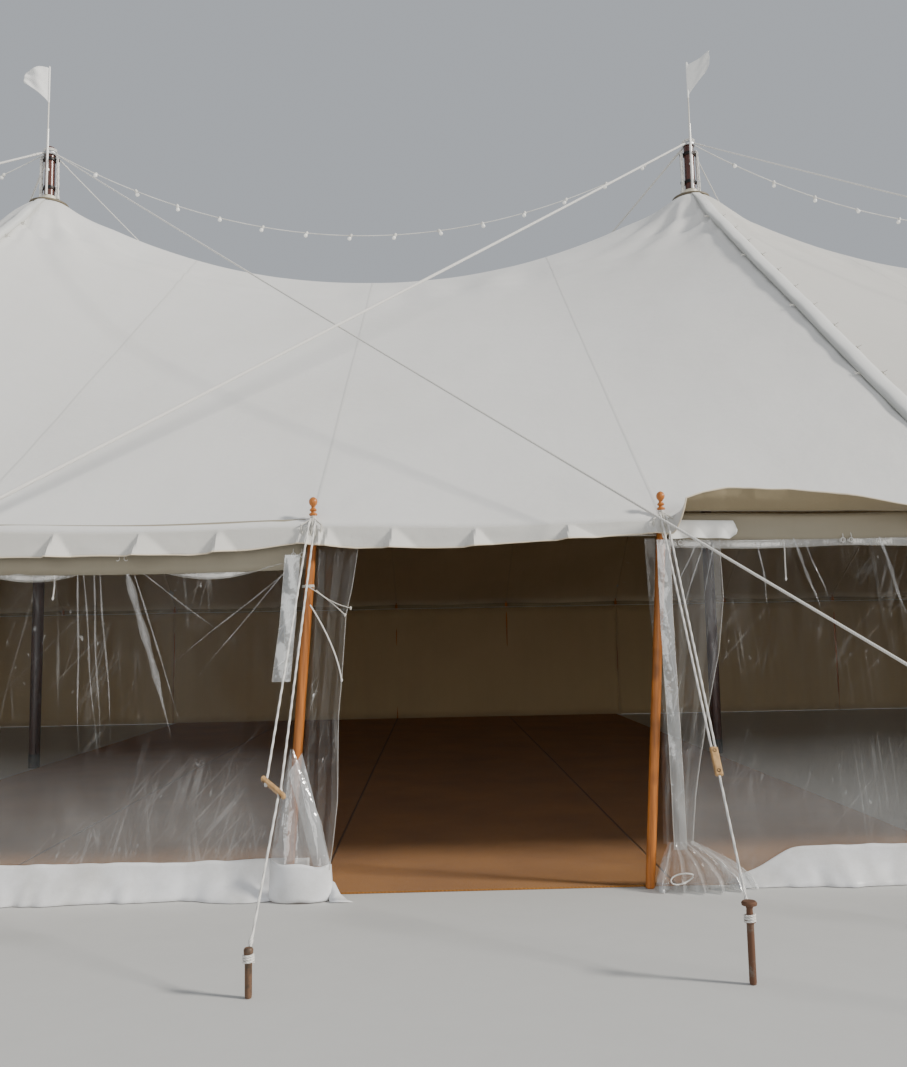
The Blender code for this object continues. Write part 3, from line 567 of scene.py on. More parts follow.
def hang_tree():
    """Hangs one part at even steps along a curve, leaving both ends free and tilting each its own way."""
    tree, given, part = part_tree("hang_along_curve", "Line", "Count", "Int")
    even = add(tree, "GeometryNodeResampleCurve",
               {"Curve": given["Line"], "Count": given["Count"]}).outputs[0]
    spots = add(tree, "GeometryNodeCurveToPoints", {"Curve": even}, mode="EVALUATED").outputs[0]
    number = add(tree, "GeometryNodeInputIndex").outputs[0]
    last = add(tree, "ShaderNodeMath", {0: given["Count"], 1: 1.5}, operation="SUBTRACT").outputs[0]
    after = add(tree, "FunctionNodeCompare", {0: number, 1: 0.5}, data_type="FLOAT", operation="GREATER_THAN")
    before = add(tree, "FunctionNodeCompare", {0: number, 1: last}, data_type="FLOAT", operation="LESS_THAN")
    both = add(tree, "FunctionNodeBooleanMath", {0: after.outputs[0], 1: before.outputs[0]}, operation="AND")
    tilts = {"Min": (-0.75, -0.55, -3.0), "Max": (0.75, 0.55, 3.0), "Seed": 5}
    tilt = add(tree, "FunctionNodeRandomValue", tilts, data_type="FLOAT_VECTOR").outputs[0]
    return realise(tree, given["Finish"], points=spots, selection=both.outputs[0], instance=part,
                   rotation=tilt)


def run_tree(name, tree, holder_data, part, finish, slot, *nodes, sharp=38.0, **inputs):
    """The piece that a tree makes from a part on points or a curve, which are then removed."""
    holder = show(name + "_places", holder_data)
    part_object = show(name + "_part", part.mesh(name + "_part", [finish], sharp))
    inputs.update(Part=part_object, Finish=FINISHES[finish])
    step = holder.modifiers.new("Set out", "NODES")
    step.node_group = tree
    for item in tree.interface.items_tree:
        if item.in_out == "INPUT" and item.name in inputs:
            step[item.identifier] = inputs[item.name]
    bpy.context.view_layer.update()
    ready = holder.evaluated_get(bpy.context.evaluated_depsgraph_get())
    mesh = bpy.data.meshes.new_from_object(ready)
    for thing in (holder, part_object):
        data = thing.data
        bpy.data.objects.remove(thing)
        (bpy.data.meshes if isinstance(data, bpy.types.Mesh) else bpy.data.curves).remove(data)
    if not mesh.polygons:
        raise RuntimeError(name + " came out empty")
    mesh.name = name
    mesh.materials.clear()
    mesh.materials.append(FINISHES[finish])
    mesh.shade_smooth()
    if sharp < 180:
        mesh.set_sharp_from_angle(angle=math.radians(sharp))
    return dress(show(name, mesh), slot, *nodes)


def set_out(name, part, places, finish, slot, *nodes):
    """Repeat a part at every (point, turn) and keep the result as one piece."""
    points = bpy.data.meshes.new(name + "_points")
    points.from_pydata([tuple(place) for place, _ in places], [], [])
    layer = points.attributes.new("turn", "FLOAT_VECTOR", "POINT")
    layer.data.foreach_set("vector", np.array([turn for _, turn in places], float).ravel())
    tree = bpy.data.node_groups.get("set_out_on_points") or set_out_tree()
    return run_tree(name, tree, points, part, finish, slot, *nodes, Size=1.0)


# Roof canvas


def plate_under(radius):
    """Height of a crown plate's lower face."""
    return PLATE_RIM_Z + PLATE_FALL * (PLATE_REACH - radius)


def crown_seat(reach, z):
    """Cloth heights near a king pole, drawn up under its crown plate."""
    cap = plate_under(np.minimum(reach, PLATE_REACH)) - 0.007 - 0.66 * np.maximum(reach - PLATE_REACH, 0.0)
    share = 1 - ease(reach, 0.17, 0.85)
    return z * (1 - share) + cap * share


def ridge(x):
    """Height of the ridge between two king poles."""
    near = np.min(np.abs(x[..., None] - np.array(KINGS)), axis=-1)
    return RIDGE_Z + (CROWN_Z - RIDGE_Z) * np.clip(1 - near / (BAY / 2), 0, 1) ** RIDGE_POWER


def pole_pulls(along, down):
    """Small folds that fan up the canvas from every side pole; down is the distance from the fold."""
    nearest = np.array(SIDE_XS)[np.argmin(np.abs(along[..., None] - np.array(SIDE_XS)), axis=-1)]
    reach = np.hypot(along - nearest, down)
    turn = np.arctan2(along - nearest, down + 0.02)
    return 0.012 * np.exp(-reach / 0.32) * np.cos(9 * turn) - 0.016 * np.exp(-(reach / 0.1) ** 2)


def crown_folds(across, down, king, looks):
    """Folds in the cloth round a crown plate: deep ones beside the lacing, soft ones towards the ridge."""
    across_far, down_far = np.abs(across), np.abs(down)
    reach = np.hypot(across, down)
    turn = np.arctan2(down_far, across_far)
    wander = ripples(across, down, 0 * across, 0.6, king + 31)
    soft = np.cos(13 * (turn + 0.09 * wander)) * np.exp(-((reach - 0.7) / 0.8) ** 2)
    hoops = np.cos(2 * math.pi * (down_far + 0.06 * wander) / 0.34) * np.exp(-across_far / 1.5)
    folds = soft * (0.5 + 0.5 * np.cos(turn)) + hoops * np.exp(-((down_far - 0.75) / 0.5) ** 2)
    folds = looks.fold_depth * folds
    flank = 1.0 if king in (KINGS[0], KINGS[2]) else 0.8
    for angle, depth, width, length in ((1.47, 0.055, 0.026, 1.9), (1.36, 0.045, 0.035, 1.3),
                                        (1.14, 0.040, 0.045, 0.9), (0.88, 0.030, 0.05, 1.2),
                                        (0.55, 0.030, 0.05, 1.4)):
        beside = reach * (turn - angle) / (width * (0.4 + reach))
        shape = np.exp(-beside ** 2) - 0.55 * np.exp(-(beside - 1.9) ** 2 / 1.4)
        folds = folds - (flank * depth * shape * ease(reach, 0.10, 0.25)
                         * ease(-reach, -length, -0.25 * length))
    return folds * ease(reach, 0.2, 0.5) * (0.15 + 0.85 * ease(down_far, 0.05, 0.45))


def lacing_puckers(across, down):
    """Short pulls across the canvas beside each lacing."""
    return 0.006 * np.sin(2 * math.pi * down / 0.38) * np.exp(-np.abs(across) / 0.22)


def canvas_rise(x, y, looks):
    """How far the real cloth stands off its plain surface."""
    down = np.abs(y)
    rise = pole_pulls(x, HALF_WIDTH + 0.05 - down)
    for king in KINGS:
        near = np.abs(x - king) < BAY / 2
        if near.any():
            rise = rise + np.where(near, crown_folds(x - king, y, king, looks) + lacing_puckers(x - king, y),
                                   0.0)
    billow = np.sin(math.pi * (x - KINGS[0]) / POLE_SPACING) ** 2
    rise = rise + 0.012 * billow * np.sin(math.pi * down / FOLD_Y)
    pulls = np.cos(2 * math.pi * x / 0.83 + 1.7 * np.sin(0.9 * x)) * np.exp(-((down - 0.6) / 0.35) ** 2)
    rise = rise + 0.38 * looks.fold_depth * pulls * (1 + 0.8 * np.sin(1.3 * x))
    rise = rise + 0.010 * ripples(x, y, 0 * x, 0.9, 3) * (0.3 + 0.7 * ease(down, 0.0, 0.8))
    return rise * ease(FOLD_Y - down, 0.0, 0.12)


def dips(along, spots, deep, power=2):
    """How far an edge held at some spots sinks between them."""
    spots = np.asarray(spots)
    right = np.clip(np.searchsorted(spots, along), 1, len(spots) - 1)
    share = (along - spots[right - 1]) / (spots[right] - spots[right - 1])
    return deep * np.sin(math.pi * np.clip(share, 0, 1)) ** power


def eave_dip(x):
    """How far the eave sinks between two side poles."""
    return dips(x, SIDE_XS, 0.018)


def bay_skin(index, looks):
    """The laced section over one bay, from fold to fold."""
    centre = (KINGS[index] + KINGS[index + 1]) / 2
    columns, front_rows, back_rows = (130, 110, 46) if index == 1 else (74, 60, 46)
    share = np.linspace(-1, 1, columns + 1)
    xs = centre + (BAY / 2 - LACED_GAP) * share * (1.33 - 0.33 * share ** 2)
    front = -FOLD_Y * np.linspace(1, 0, front_rows + 1) ** 1.3
    back = FOLD_Y * np.linspace(0, 1, back_rows + 1)[1:] ** 1.2
    x, y = np.meshgrid(xs, np.concatenate([front, back]))
    inside = np.zeros_like(x, bool)
    reach = np.full_like(x, 9.0)
    for king in (KINGS[index], KINGS[index + 1]):
        near = np.abs(x - king) < 1.0
        hole = np.hypot(x - king, y)
        inside |= near & (hole < CROWN_HOLE)
        grow = np.where(near & (hole < CROWN_HOLE), CROWN_HOLE / np.maximum(hole, 1e-6), 1.0)
        x, y = king + (x - king) * grow, y * grow
        reach = np.minimum(reach, np.hypot(x - king, y))
    down = np.abs(y) / FOLD_Y
    z = ridge(x) + (FOLD_Z - ridge(x)) * down - eave_dip(x) * ease(down, 0.8, 1.0)
    z = crown_seat(reach, z + canvas_rise(x, y, looks) * ease(reach, 0.2, 0.34))
    z = z + eave_lift(x) * ease(-y, 5.92, FOLD_Y)
    fan = centre + (x - centre) / (1 + 0.08 * (1 - down)) - KINGS[0]
    keep = ~(inside[:-1, :-1] & inside[1:, :-1] & inside[:-1, 1:] & inside[1:, 1:])
    skin = Skin()
    skin.net(weave(x, y, z), weave(fan, np.hypot(y, ridge(x) - z)), WHITE, keep)
    return skin


def end_rim(side, columns_each):
    """Points round the fold of a hipped end, front to back, with the share of the way round."""
    king = KINGS[3]
    corners = np.array([(king, -FOLD_Y), (FOLD_X, -FOLD_Y), (FOLD_X, 0.0), (FOLD_X, FOLD_Y), (king, FOLD_Y)])
    turns = np.arange(4 * columns_each + 1) / columns_each
    return np.stack([np.interp(turns, range(5), way) for way in (side * corners[:, 0], corners[:, 1])],
                    -1), turns


def end_skin(side, looks):
    """The hipped section beyond the last king pole."""
    king = side * KINGS[3]
    rim, turns = end_rim(side, 36)
    reach = np.hypot(rim[:, 0] - king, rim[:, 1])
    first = CROWN_HOLE / reach
    share = first + (1 - first) * (np.linspace(0, 1, 52)[:, None]) ** 1.1
    x = king + side * np.maximum(side * (rim[:, 0] - king) * share, LACED_GAP)
    y = rim[:, 1] * share
    sag = END_SAG * 4 * share * (1 - share) * np.sin(math.pi * (turns % 1.0)) ** 2
    z = CROWN_Z + (FOLD_Z - CROWN_Z) * share - sag
    near = np.hypot(x - king, y)
    fan = (np.cos(26 * turns) * np.exp(-((near - 0.9) / 0.7) ** 2) * 0.4 * looks.fold_depth
           * ease(near, 0.25, 0.6))
    hip = (0.014 * (np.exp(-((turns - 1) / 0.05) ** 2) + np.exp(-((turns - 3) / 0.05) ** 2))
           * np.sin(math.pi * share))
    z = z + (fan + hip + 0.010 * ripples(x, y, 0 * x, 0.9, 5)) * ease(1 - share, 0.0, 0.03)
    z = z + lacing_puckers(x - king, y) * ease(1 - share, 0.0, 0.05) * ease(near, 0.25, 0.6)
    run = runs(np.hypot(*np.diff(rim, axis=0).T))
    skin = Skin()
    skin.net(weave(x, y, crown_seat(near, z)), weave(run, share * np.hypot(reach, CROWN_Z - FOLD_Z)), WHITE,
             turned=side > 0)
    return skin


def net_area(skin):
    """Area of the gathered skin."""
    points = np.concatenate(skin.points)
    a, b, c, d = (points[[face[k] for face in skin.faces if len(face) == 4]] for k in range(4))
    halves = np.cross(b - a, c - a), np.cross(c - a, d - a)
    return float(sum(np.linalg.norm(half, axis=1).sum() for half in halves) / 2)


def build_roof(looks):
    """The three laced bays and two hipped ends of the roof."""
    for part, skin, flat, kings, cloth in (
            ("bay_1", bay_skin(0, looks), (8.1, 15.8), (1, 2), "canvas"),
            ("bay_2", bay_skin(1, looks), (8.1, 15.8), (2, 3), "canvas"),
            # Bay 3 and the right end take a darker, warmer copy of the canvas: painted shade.
            ("bay_3", bay_skin(2, looks), (8.1, 15.8), (3, 4), "shaded canvas"),
            ("end_left", end_skin(-1, looks), (15.8, 8.1), (1,), "canvas"),
            ("end_right", end_skin(1, looks), (15.8, 8.1), (4,), "shaded canvas")):
        piece = skin.piece(f"roof_canvas_{part}", [cloth, "shaded canvas inside"], "canvas", f"canvas_{part}")
        thicken(piece, looks.cloth, inner=1)
        min(net_area(skin), 127.0)


# Valance

HEM_POINTS = ((-1.8, 1.89), (-0.7, 1.89), (-0.37, 1.91), (-0.08, 1.945), (0.25, 1.91), (0.9, 1.905),
              (1.28, 1.933), (1.99, 1.965), (2.1, 1.945), (3.1, 1.948), (3.4, 1.935), (4.0, 1.89),
              (5.0, 1.885))
DOOR_PLEATS = ((-1.45, 1.0), (-0.97, 1.1), (-0.53, 0.9), (-0.075, 0.45), (-0.035, 0.5), (0.04, 0.5),
               (0.085, 0.6), (0.455, 0.95), (0.925, 1.0), (1.455, 1.1), (1.91, 0.5), (1.955, 0.5),
               (2.035, 0.5))
WIND_POINTS = ((2.03, 0.0), (2.06, 60.0), (2.10, 115.0), (2.20, 130.0), (2.34, 143.0), (2.7, 146.0),
               (2.94, 132.0), (3.37, 95.0), (3.8, 30.0), (4.0, 0.0))
LIFT_POINTS = ((2.02, 0.0), (2.10, 0.052), (2.7, 0.058), (3.1, 0.058), (3.4, 0.045), (3.9, 0.0))


def eave_lift(x):
    """How far the wind lifts the front eave to the right of the doorway."""
    return np.interp(x, *zip(*LIFT_POINTS))


def pleat_places(start, end):
    """Where the valance is tucked along a straight eave, and how large each tuck is."""
    spots = [start + 0.5 * k + 0.05 * math.sin(12.9 * k + start)
             for k in range(int(round((end - start) / 0.5)) + 1)]
    return [(spot, 1.0 + 0.12 * math.sin(7.0 * k)) for k, spot in enumerate(spots)
            if not (start < 0 < end and -1.7 < spot < 2.25)]


def valance_skin(fold, outward, run, hem_z, pleats, wind, turned):
    """One length of valance below a fold, with its bound hem; run is the distance along it."""
    rows = 13
    share = np.linspace(0, 1, rows)[:, None]
    depth = fold[:, 2] - hem_z
    stand = np.zeros_like(share * run)
    open_share = np.clip((share - 0.03) / 0.97, 0, 1)
    for number, (spot, size) in enumerate(pleats):
        tall = size * (0.082 + 0.014 * math.sin(5.1 * number))
        steep = size * (0.008 + 0.036 * open_share)
        gentle = size * (0.016 + (0.13 + 0.03 * math.sin(2.3 * number)) * open_share)
        offset = run - spot + 0.02 * size * open_share
        flank = np.where(offset < 0, 1 + offset / steep, 1 - offset / gentle)
        stand = stand + tall * open_share * np.clip(flank, 0, 1)
    stand = stand + 0.014 * share * (ripples(run, share * 0.3, 0, 2.2, 9, 2) + 0.4)
    lift = 0.007 * ripples(run, share * 0.0, 0, 3.1, 4, 2) * share
    blown = ease(wind, 20.0, 90.0)
    sway = ripples(run, share * 1.2, 0, 1.7, 14, 2)
    angle = np.radians(wind) * ease(share, -0.08, 0.12 + 0.25 * (1 - blown)) - 0.35 * blown * sway * share
    step = depth / (rows - 1) * (share > 0)
    ahead = np.cumsum(step * np.sin(angle), axis=0) + stand * (1 - 0.85 * blown)
    ahead = ahead + 0.012 * blown * np.sin(math.pi * share)
    below = np.cumsum(step * np.cos(angle), axis=0)
    points = weave(fold[:, 0] + outward[:, 0] * ahead, fold[:, 1] + outward[:, 1] * ahead,
                   fold[:, 2] - below + lift)
    skin = Skin()
    skin.net(points, weave(run, share * depth), WHITE, turned=turned)
    skin.tube(points[-1], 0.0045 + 0.0006 * np.sin(9.0 * run), 6, BINDING)
    return skin


def straight_valance(side, start, end, step):
    """The valance of one bay on the front or back."""
    run = np.linspace(start, end, int(round((end - start) / step)) + 1)
    fold_z = FOLD_Z - eave_dip(run) + (eave_lift(run) if side < 0 else 0.0)
    hem_z = fold_z - VALANCE + 0.006 * np.sin(2.1 * run)
    wind = np.zeros_like(run)
    pleats = pleat_places(start, end)
    if side < 0 and start < 0 < end:
        mid = (run > HEM_POINTS[0][0]) & (run < HEM_POINTS[-1][0])
        hem_z = np.where(mid, np.interp(run, *zip(*HEM_POINTS)), hem_z)
        wind = np.interp(run, *zip(*WIND_POINTS))
        pleats = sorted(pleats + list(DOOR_PLEATS))
    return valance_skin(weave(run, side * FOLD_Y, fold_z), np.tile((0.0, side), (len(run), 1)), run, hem_z,
                        pleats, wind, side < 0)


def end_valance(side):
    """The valance round a hipped end."""
    rim, _ = end_rim(side, 116)
    run = runs(np.hypot(*np.diff(rim, axis=0).T))
    along = np.gradient(rim, axis=0)
    along /= np.linalg.norm(along, axis=1)[:, None]
    hem_z = FOLD_Z - VALANCE + 0.006 * np.sin(2.1 * run)
    pleats = [(0.5 * k + 0.05 * math.sin(7.7 * k), 1.0) for k in range(1, int(run[-1] / 0.5))]
    return valance_skin(weave(*rim.T, FOLD_Z), weave(along[:, 1], -along[:, 0]) * side, run, hem_z, pleats,
                        np.zeros_like(run), side > 0)


def build_valances(looks):
    """The pleated valance that hangs from the eave all round."""
    lengths = []
    for name, side in (("front", -1), ("back", 1)):
        for index in range(3):
            step = 0.0125 if (side < 0 and index == 1) else 0.05
            skin = straight_valance(side, KINGS[index], KINGS[index + 1], step)
            lengths.append((f"{name}_{index + 1}", f"bay_{index + 1}", skin, 8.4))
    lengths += [(f"end_{name}", f"end_{name}", end_valance(side), 25.2)
                for name, side in (("left", -1), ("right", 1))]
    for name, part, skin, length in lengths:
        # The valance and its inside take darker copies of the canvas: painted shade.
        piece = skin.piece(f"valance_{name}", ["valance", "shaded valance inside", "binding", "binding"], "canvas",
                           sharp=20.0)
        thicken(piece, looks.cloth, inner=1)


# Lacing covers

COVER_RISE = 0.040
COVER_OUTLINE = ((-1.0, 0.02), (-1.0, 0.12), (-0.93, 0.42), (-0.78, 0.70), (-0.55, 0.89), (-0.28, 0.98),
                 (0.0, 1.0), (0.28, 0.98), (0.55, 0.89), (0.78, 0.70), (0.93, 0.42), (1.0, 0.12), (1.0, 0.02))


def cover_girth(width):
    """Length of a lacing cover's outline, over the top from edge to edge."""
    steps = np.diff(COVER_OUTLINE, axis=0) * (width / 2, COVER_RISE)
    return float(np.linalg.norm(steps, axis=1).sum())


def cover_skin(king, side, width):
    """A padded half-round strip from the crown plate's rim to the eave."""
    away = np.linspace(0.243, 6.03, 150)
    line = weave(king + 0.004 * np.sin(3.1 * away + king), side * away,
                 crown_seat(away, CROWN_Z - FALL * away))
    up = np.array([0.0, side * FALL, 1.0]) / np.hypot(FALL, 1.0)
    lumps = (1 + 0.07 * np.sin(away * 8.3 + king) + 0.04 * np.sin(away * 21.0))[:, None]
    ends = (ease(away, 0.24, 0.75) * ease(-away, -6.03, -5.93))[:, None]
    px, pz = np.transpose(COVER_OUTLINE)
    rise = 0.004 + COVER_RISE * pz * np.where(pz > 0.2, lumps, 1.0) * (0.2 + 0.8 * ends)
    rings = line[:, None] + weave(width / 2 * (0.7 + 0.3 * ends) * px, 0, 0) + up * rise[..., None]
    skin = Skin()
    skin.loft(rings, tight=True)
    return skin


def build_lacing_covers(looks):
    """Padded half-round strips over the lacings, with the ties along them."""
    slope = math.atan(FALL)
    places = []
    for number, king in enumerate(KINGS, 1):
        for name, side in (("front", -1), ("back", 1)):
            cover = cover_skin(king, side, looks.cover_width).piece(
                f"lacing_strip_{name}_{number}", ["lacing cover"], "cover", f"lacing_cover_{name}_{number}",
                sharp=60.0)
            for k, away in enumerate(np.arange(0.95, 5.9, looks.tie_spacing)):
                for edge in ((1,) if k % 3 else (1, -1)):
                    point = (king + edge * (looks.cover_width / 2 + 0.008), side * away,
                             CROWN_Z - FALL * away + 0.004)
                    places.append((point, (side * slope, 0.0, 0.0 if edge > 0 else math.pi * 0.98)))
    tie = Skin()
    turn = circle(8)
    loop = weave(0.012 * np.cos(turn), 0.016 * np.sin(turn), 0.004 + 0.004 * np.sin(2 * turn))
    tie.tube([*loop, loop[0]], 0.0035, 5)
    tie.tube([(0.0, 0.0, 0.006), (0.018, -0.012, 0.008), (0.034, -0.03, 0.004)], 0.003, 5)
    tie.tube([(0.0, 0.0, 0.006), (0.022, 0.008, 0.010), (0.038, 0.016, 0.004)], 0.003, 5)
    set_out("lacing_ties", tie, places, "rope", "rope")


# King poles and what hangs on them


def build_king_poles():
    """Tapered mahogany king poles with rounded heads and iron shoes."""
    foot, head = KING_RADIUS - 0.002, KING_RADIUS - 0.004
    for number, king in enumerate(KINGS, 1):
        skin = Skin()
        skin.turned([(foot - 0.004, 0.0), (foot, 0.004), (foot, 0.16)], (king, 0, 0), 40, 1)
        skin.turned([(foot - 0.001, 0.155), (KING_RADIUS, 1.2), (KING_RADIUS, 5.2), (head, 7.5),
                     (head, KING_TOP - 0.03), (head - 0.006, KING_TOP - 0.012),
                     (head - 0.02, KING_TOP - 0.002), (0.004, KING_TOP)], (king, 0, 0), 40, 0)
        skin.piece(f"king_mast_{number}", ["mahogany", "dark iron"], "mahogany", f"king_pole_{number}")


def band(skin, king, level, outer, mark):
    """An iron band round a king pole."""
    inner, edge = KING_RADIUS + 0.0005, outer[0]
    skin.turned([(inner, -0.02), (edge, -0.02), (outer[1], outer[2] - 0.02), (outer[1], 0.02 - outer[2]),
                 (edge, 0.02), (inner, 0.02)], (king, 0, level), 40, mark, closed=True)


def crown_skin(king):
    """Crown plate with its rim, the rope falls above it and the eared bands on the pole head."""
    reach, sleeve = 0.222, 0.088
    skin = Skin()
    skin.turned([(0.0665, plate_under(0.0665)), (reach, plate_under(reach)),
                 (reach, plate_under(reach) + 0.012), (sleeve, plate_under(sleeve) + 0.012),
                 (sleeve, plate_under(0.07) + 0.055), (0.083, plate_under(0.07) + 0.06),
                 (0.0665, plate_under(0.07) + 0.06)], (king, 0, 0), 40, 0,
                closed=True)
    turn = circle(12)
    # The rim's bead takes a dark brown finish: painted shade under the plate's edge.
    bead = weave(reach + 0.004 + 0.006 * np.cos(turn), plate_under(reach) + 0.007 + 0.014 * np.sin(turn))
    skin.turned(bead, (king, 0, 0), 48, 1, closed=True)
    for level in (CROWN_Z + 0.12, KING_TOP - 0.17):
        band(skin, king, level, (0.0715, 0.073, 0.004), 2)
        for side in (-1, 1):
            skin.slab((0.047, 0.034, 0.036), Matrix.Translation((king + side * 0.0945, 0, level)), 0.006, 2)
            skin.tube([(king + side * 0.098, -0.03, level), (king + side * 0.098, 0.03, level)], 0.008, 10, 3)
    top, foot = KING_TOP - 0.15, plate_under(0.1) + 0.01
    share = np.linspace(0, 1, 60)
    turn = np.linspace(0, 2 * math.pi, 13)
    for side in (-1, 1):
        for fall, (shift, y) in enumerate(((-0.012, -0.020), (0.012, -0.022), (0.0, 0.020))):
            x = king + side * (0.1 + shift * (1 - 0.5 * share)) + 0.004 * np.sin(math.pi * share + fall)
            skin.tube(weave(x, y, foot + 0.03 + (top - foot - 0.03) * share), 0.0098, 9, 4, 24.0)
        x = king + side * 0.1
        skin.tube([(x, -0.03, top), (x - side * 0.014, -0.024, top + 0.022),
                   (x - side * 0.02, 0.0, top + 0.03), (x - side * 0.014, 0.02, top + 0.022),
                   (x, 0.02, top)], 0.0088, 8, 4)
        skin.tube(weave(x + 0.013 * np.cos(turn), -0.006 * np.sin(turn), foot + 0.014 + 0.02 * np.sin(turn)),
                  0.005, 6, 3)
        coil_round(skin, x, -0.002, foot + 0.05, 0.016, 0.006, 4, 3)
    return skin


def build_crown_gear():
    """Crown plates with their bolts, the rope falls that hold them and the bands on the pole heads."""
    bolts = []
    for number, king in enumerate(KINGS, 1):
        crown_skin(king).piece(f"crown_ring_{number}",
                               ["cream enamel", "shaded rim", "dark iron", "galvanised", "white rope"], "iron",
                               f"crown_gear_{number}")
        for k in range(10):
            turn = 2 * math.pi * (k + 0.5) / 10
            spot = (king + 0.165 * math.cos(turn), 0.165 * math.sin(turn), plate_under(0.165) + 0.013)
            bolts.append((spot, (0, 0, turn)))
    bolt = Skin()
    bolt.turned([(0.011, 0), (0.0115, 0.003), (0.0075, 0.004), (0.0078, 0.010), (0.006, 0.012)], sides=6)
    set_out("crown_bolts", bolt, bolts, "galvanised", "iron")


def flag_cloth(king, y, tip, leftward, seed):
    """Points over a small four-sided flag blown away from its rod, with a curled top corner."""
    u = np.linspace(0, 1, 34)[None, :]
    v = np.linspace(0, 1, 40)[:, None]
    if leftward:
        wind, high = math.radians(-172.0), tip - 0.015 + 0.05 * np.sin(math.pi * u) - 0.03 * u
        low = tip - 0.49 + 0.24 * u ** 0.8
    else:
        wind, high = math.radians(-40.0), tip - 0.03 + 0.13 * np.sin(1.5 * u)
        low = tip - 0.47 + 0.30 * u ** 0.7
    reach = 0.285 * u * (1 - 0.05 * np.sin(3.0 * v + seed))
    tuck = np.clip(1 - v / (0.30 * u + 0.02), 0, 1)
    belly = 0.035 * np.sin(math.pi * u) + 0.012 * u * np.sin(9 * u + 4 * v + seed)
    belly = (belly + 0.005 * u * np.sin(17 * v + 5 * u)
             + (-0.05 if leftward else 0.05) * np.sin(0.5 * math.pi * tuck))
    x = king + math.cos(wind) * reach - math.sin(wind) * belly
    points = weave(x, y + math.sin(wind) * reach + math.cos(wind) * belly,
                   high + (low - high) * v - 0.05 * tuck ** 2 * u)
    return points, weave(0.29 * u, 0.48 * v)


def build_flags():
    """Pale metal holders, rods and the wind-blown white flags above the king poles."""
    y = -(KING_RADIUS + 0.0003 + 0.0165 + 0.0003 + 0.013)
    top = KING_TOP + 0.19
    for number, king in enumerate(KINGS, 1):
        foot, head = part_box(f"flag_{number}")
        tip = head.z
        skin = Skin()
        skin.turned([(0.0135, foot.z), (0.015, foot.z + 0.004), (0.015, top - 0.02), (0.0175, top - 0.018),
                     (0.0175, top - 0.003), (0.013, top)], (king, y, 0), 18, 0)
        skin.turned([(0.0088, top - 0.01), (0.0078, tip - 0.3), (0.0065, tip - 0.012), (0.0045, tip - 0.01),
                     (0.0035, tip)], (king, y, 0), 14, 1)
        for level in (KING_TOP - 0.33, KING_TOP - 0.72):
            skin.slab((0.04, 0.022, 0.03), Matrix.Translation((king, y + 0.014, level)), 0.003, 0)
        skin.piece(f"flag_staff_{number}", ["pale metal", "pale rod"], "iron", f"flag_{number}")
        cloth = Skin()
        cloth.net(*flag_cloth(king, y, tip, number % 2 == 0, number), turned=True)
        cloth.tube(weave(king, y, np.linspace(tip - 0.485, tip - 0.012, 12)), 0.0115, 10)
        piece = thicken(cloth.piece(f"flag_cloth_{number}", ["flag"], "canvas"), 0.002)


def storm_level(index):
    """Height of a king pole's storm rope collar."""
    return KING_TOP - 0.045 - 0.05 * (index % 2)


def stake_skin(skin, x, y, height, mark, headed=False):
    """A driven steel stake; the doorway's right one has a spool head."""
    if headed:
        head = [(0.0145, 0.085), (0.0215, 0.083), (0.0225, 0.074), (0.014, 0.068), (0.0125, 0.03),
                (0.016, 0.02), (0.030, 0.016), (0.0315, 0.006), (0.026, 0.0)]
    else:
        head = [(0.015, 0.03), (0.0185, 0.022), (0.0195, 0.008), (0.015, 0.0)]
    profile = [(0.013 if headed else 0.0125, 0.0), (0.0145, 0.01)]
    profile += [(radius, height - down) for radius, down in head]
    skin.turned(profile, (x, y, 0), 18, mark)


def coil_round(skin, x, y, z, radius, rope, mark, count=2):
    """A few turns of rope round an upright, such as a stake or a pole."""
    turn = np.linspace(0, 2 * math.pi * count, 16 * count)
    skin.tube(weave(x + (radius + rope) * np.cos(turn), y + (radius + rope) * np.sin(turn),
                    z + rope * 2.1 * (turn / (2 * math.pi) - count / 2)), rope, 6, mark)


def storm_rope(skin, king, way, side, level, reach, girth):
    """One heavy rope from a king pole's collar to its stake, with its knots."""
    foot = np.array([king + way * reach, side * 8.7, 0.192])
    away = np.array([foot[0] - king, foot[1], 0.0])
    start = np.array([king, 0, level]) + away / np.linalg.norm(away) * 0.078
    share = np.linspace(0, 1, 60)[:, None]
    line = start + (foot - start) * share
    line[:, 2] -= 0.03 * np.sin(math.pi * share[:, 0])
    skin.tube(line, girth / 2, 10, 0)
    along = (foot - start) / np.linalg.norm(foot - start)
    for part in (0.10, 0.16):
        near = start + along * part
        skin.tube([near - along * 0.02, near + along * 0.02], girth / 2 + 0.003, 8, 0)
    knot = foot - along * 0.09
    skin.tube([knot - along * 0.03, knot, knot + along * 0.03], [0.013, 0.019, 0.013], 8, 0)
    coil_round(skin, foot[0], foot[1], 0.185, 0.015, 0.008, 0)
    stake_skin(skin, foot[0], foot[1], 0.24, 2)


def build_storm_ropes(looks):
    """Four heavy ropes from every king pole's collar to their stakes, with their knots."""
    for index, king in enumerate(KINGS):
        level = storm_level(index)
        skin = Skin()
        band(skin, king, level, (0.078, 0.082, 0.006), 1)
        for rise in (0.026, 0.044):
            coil_round(skin, king, 0.0, level + rise, 0.0655, 0.009, 0, 1)
        for way in (-1, 1):
            reach = 7.85 if 0 <= index + way < 4 else 4.36
            girth = looks.storm_rope if way < 0 else 0.56 * looks.storm_rope
            for side in (-1, 1):
                storm_rope(skin, king, way, side, level, reach, girth)
        skin.piece(f"storm_lines_{index + 1}", ["white rope", "galvanised", "rusty"], "rope",
                   f"storm_ropes_{index + 1}")


# Light strings


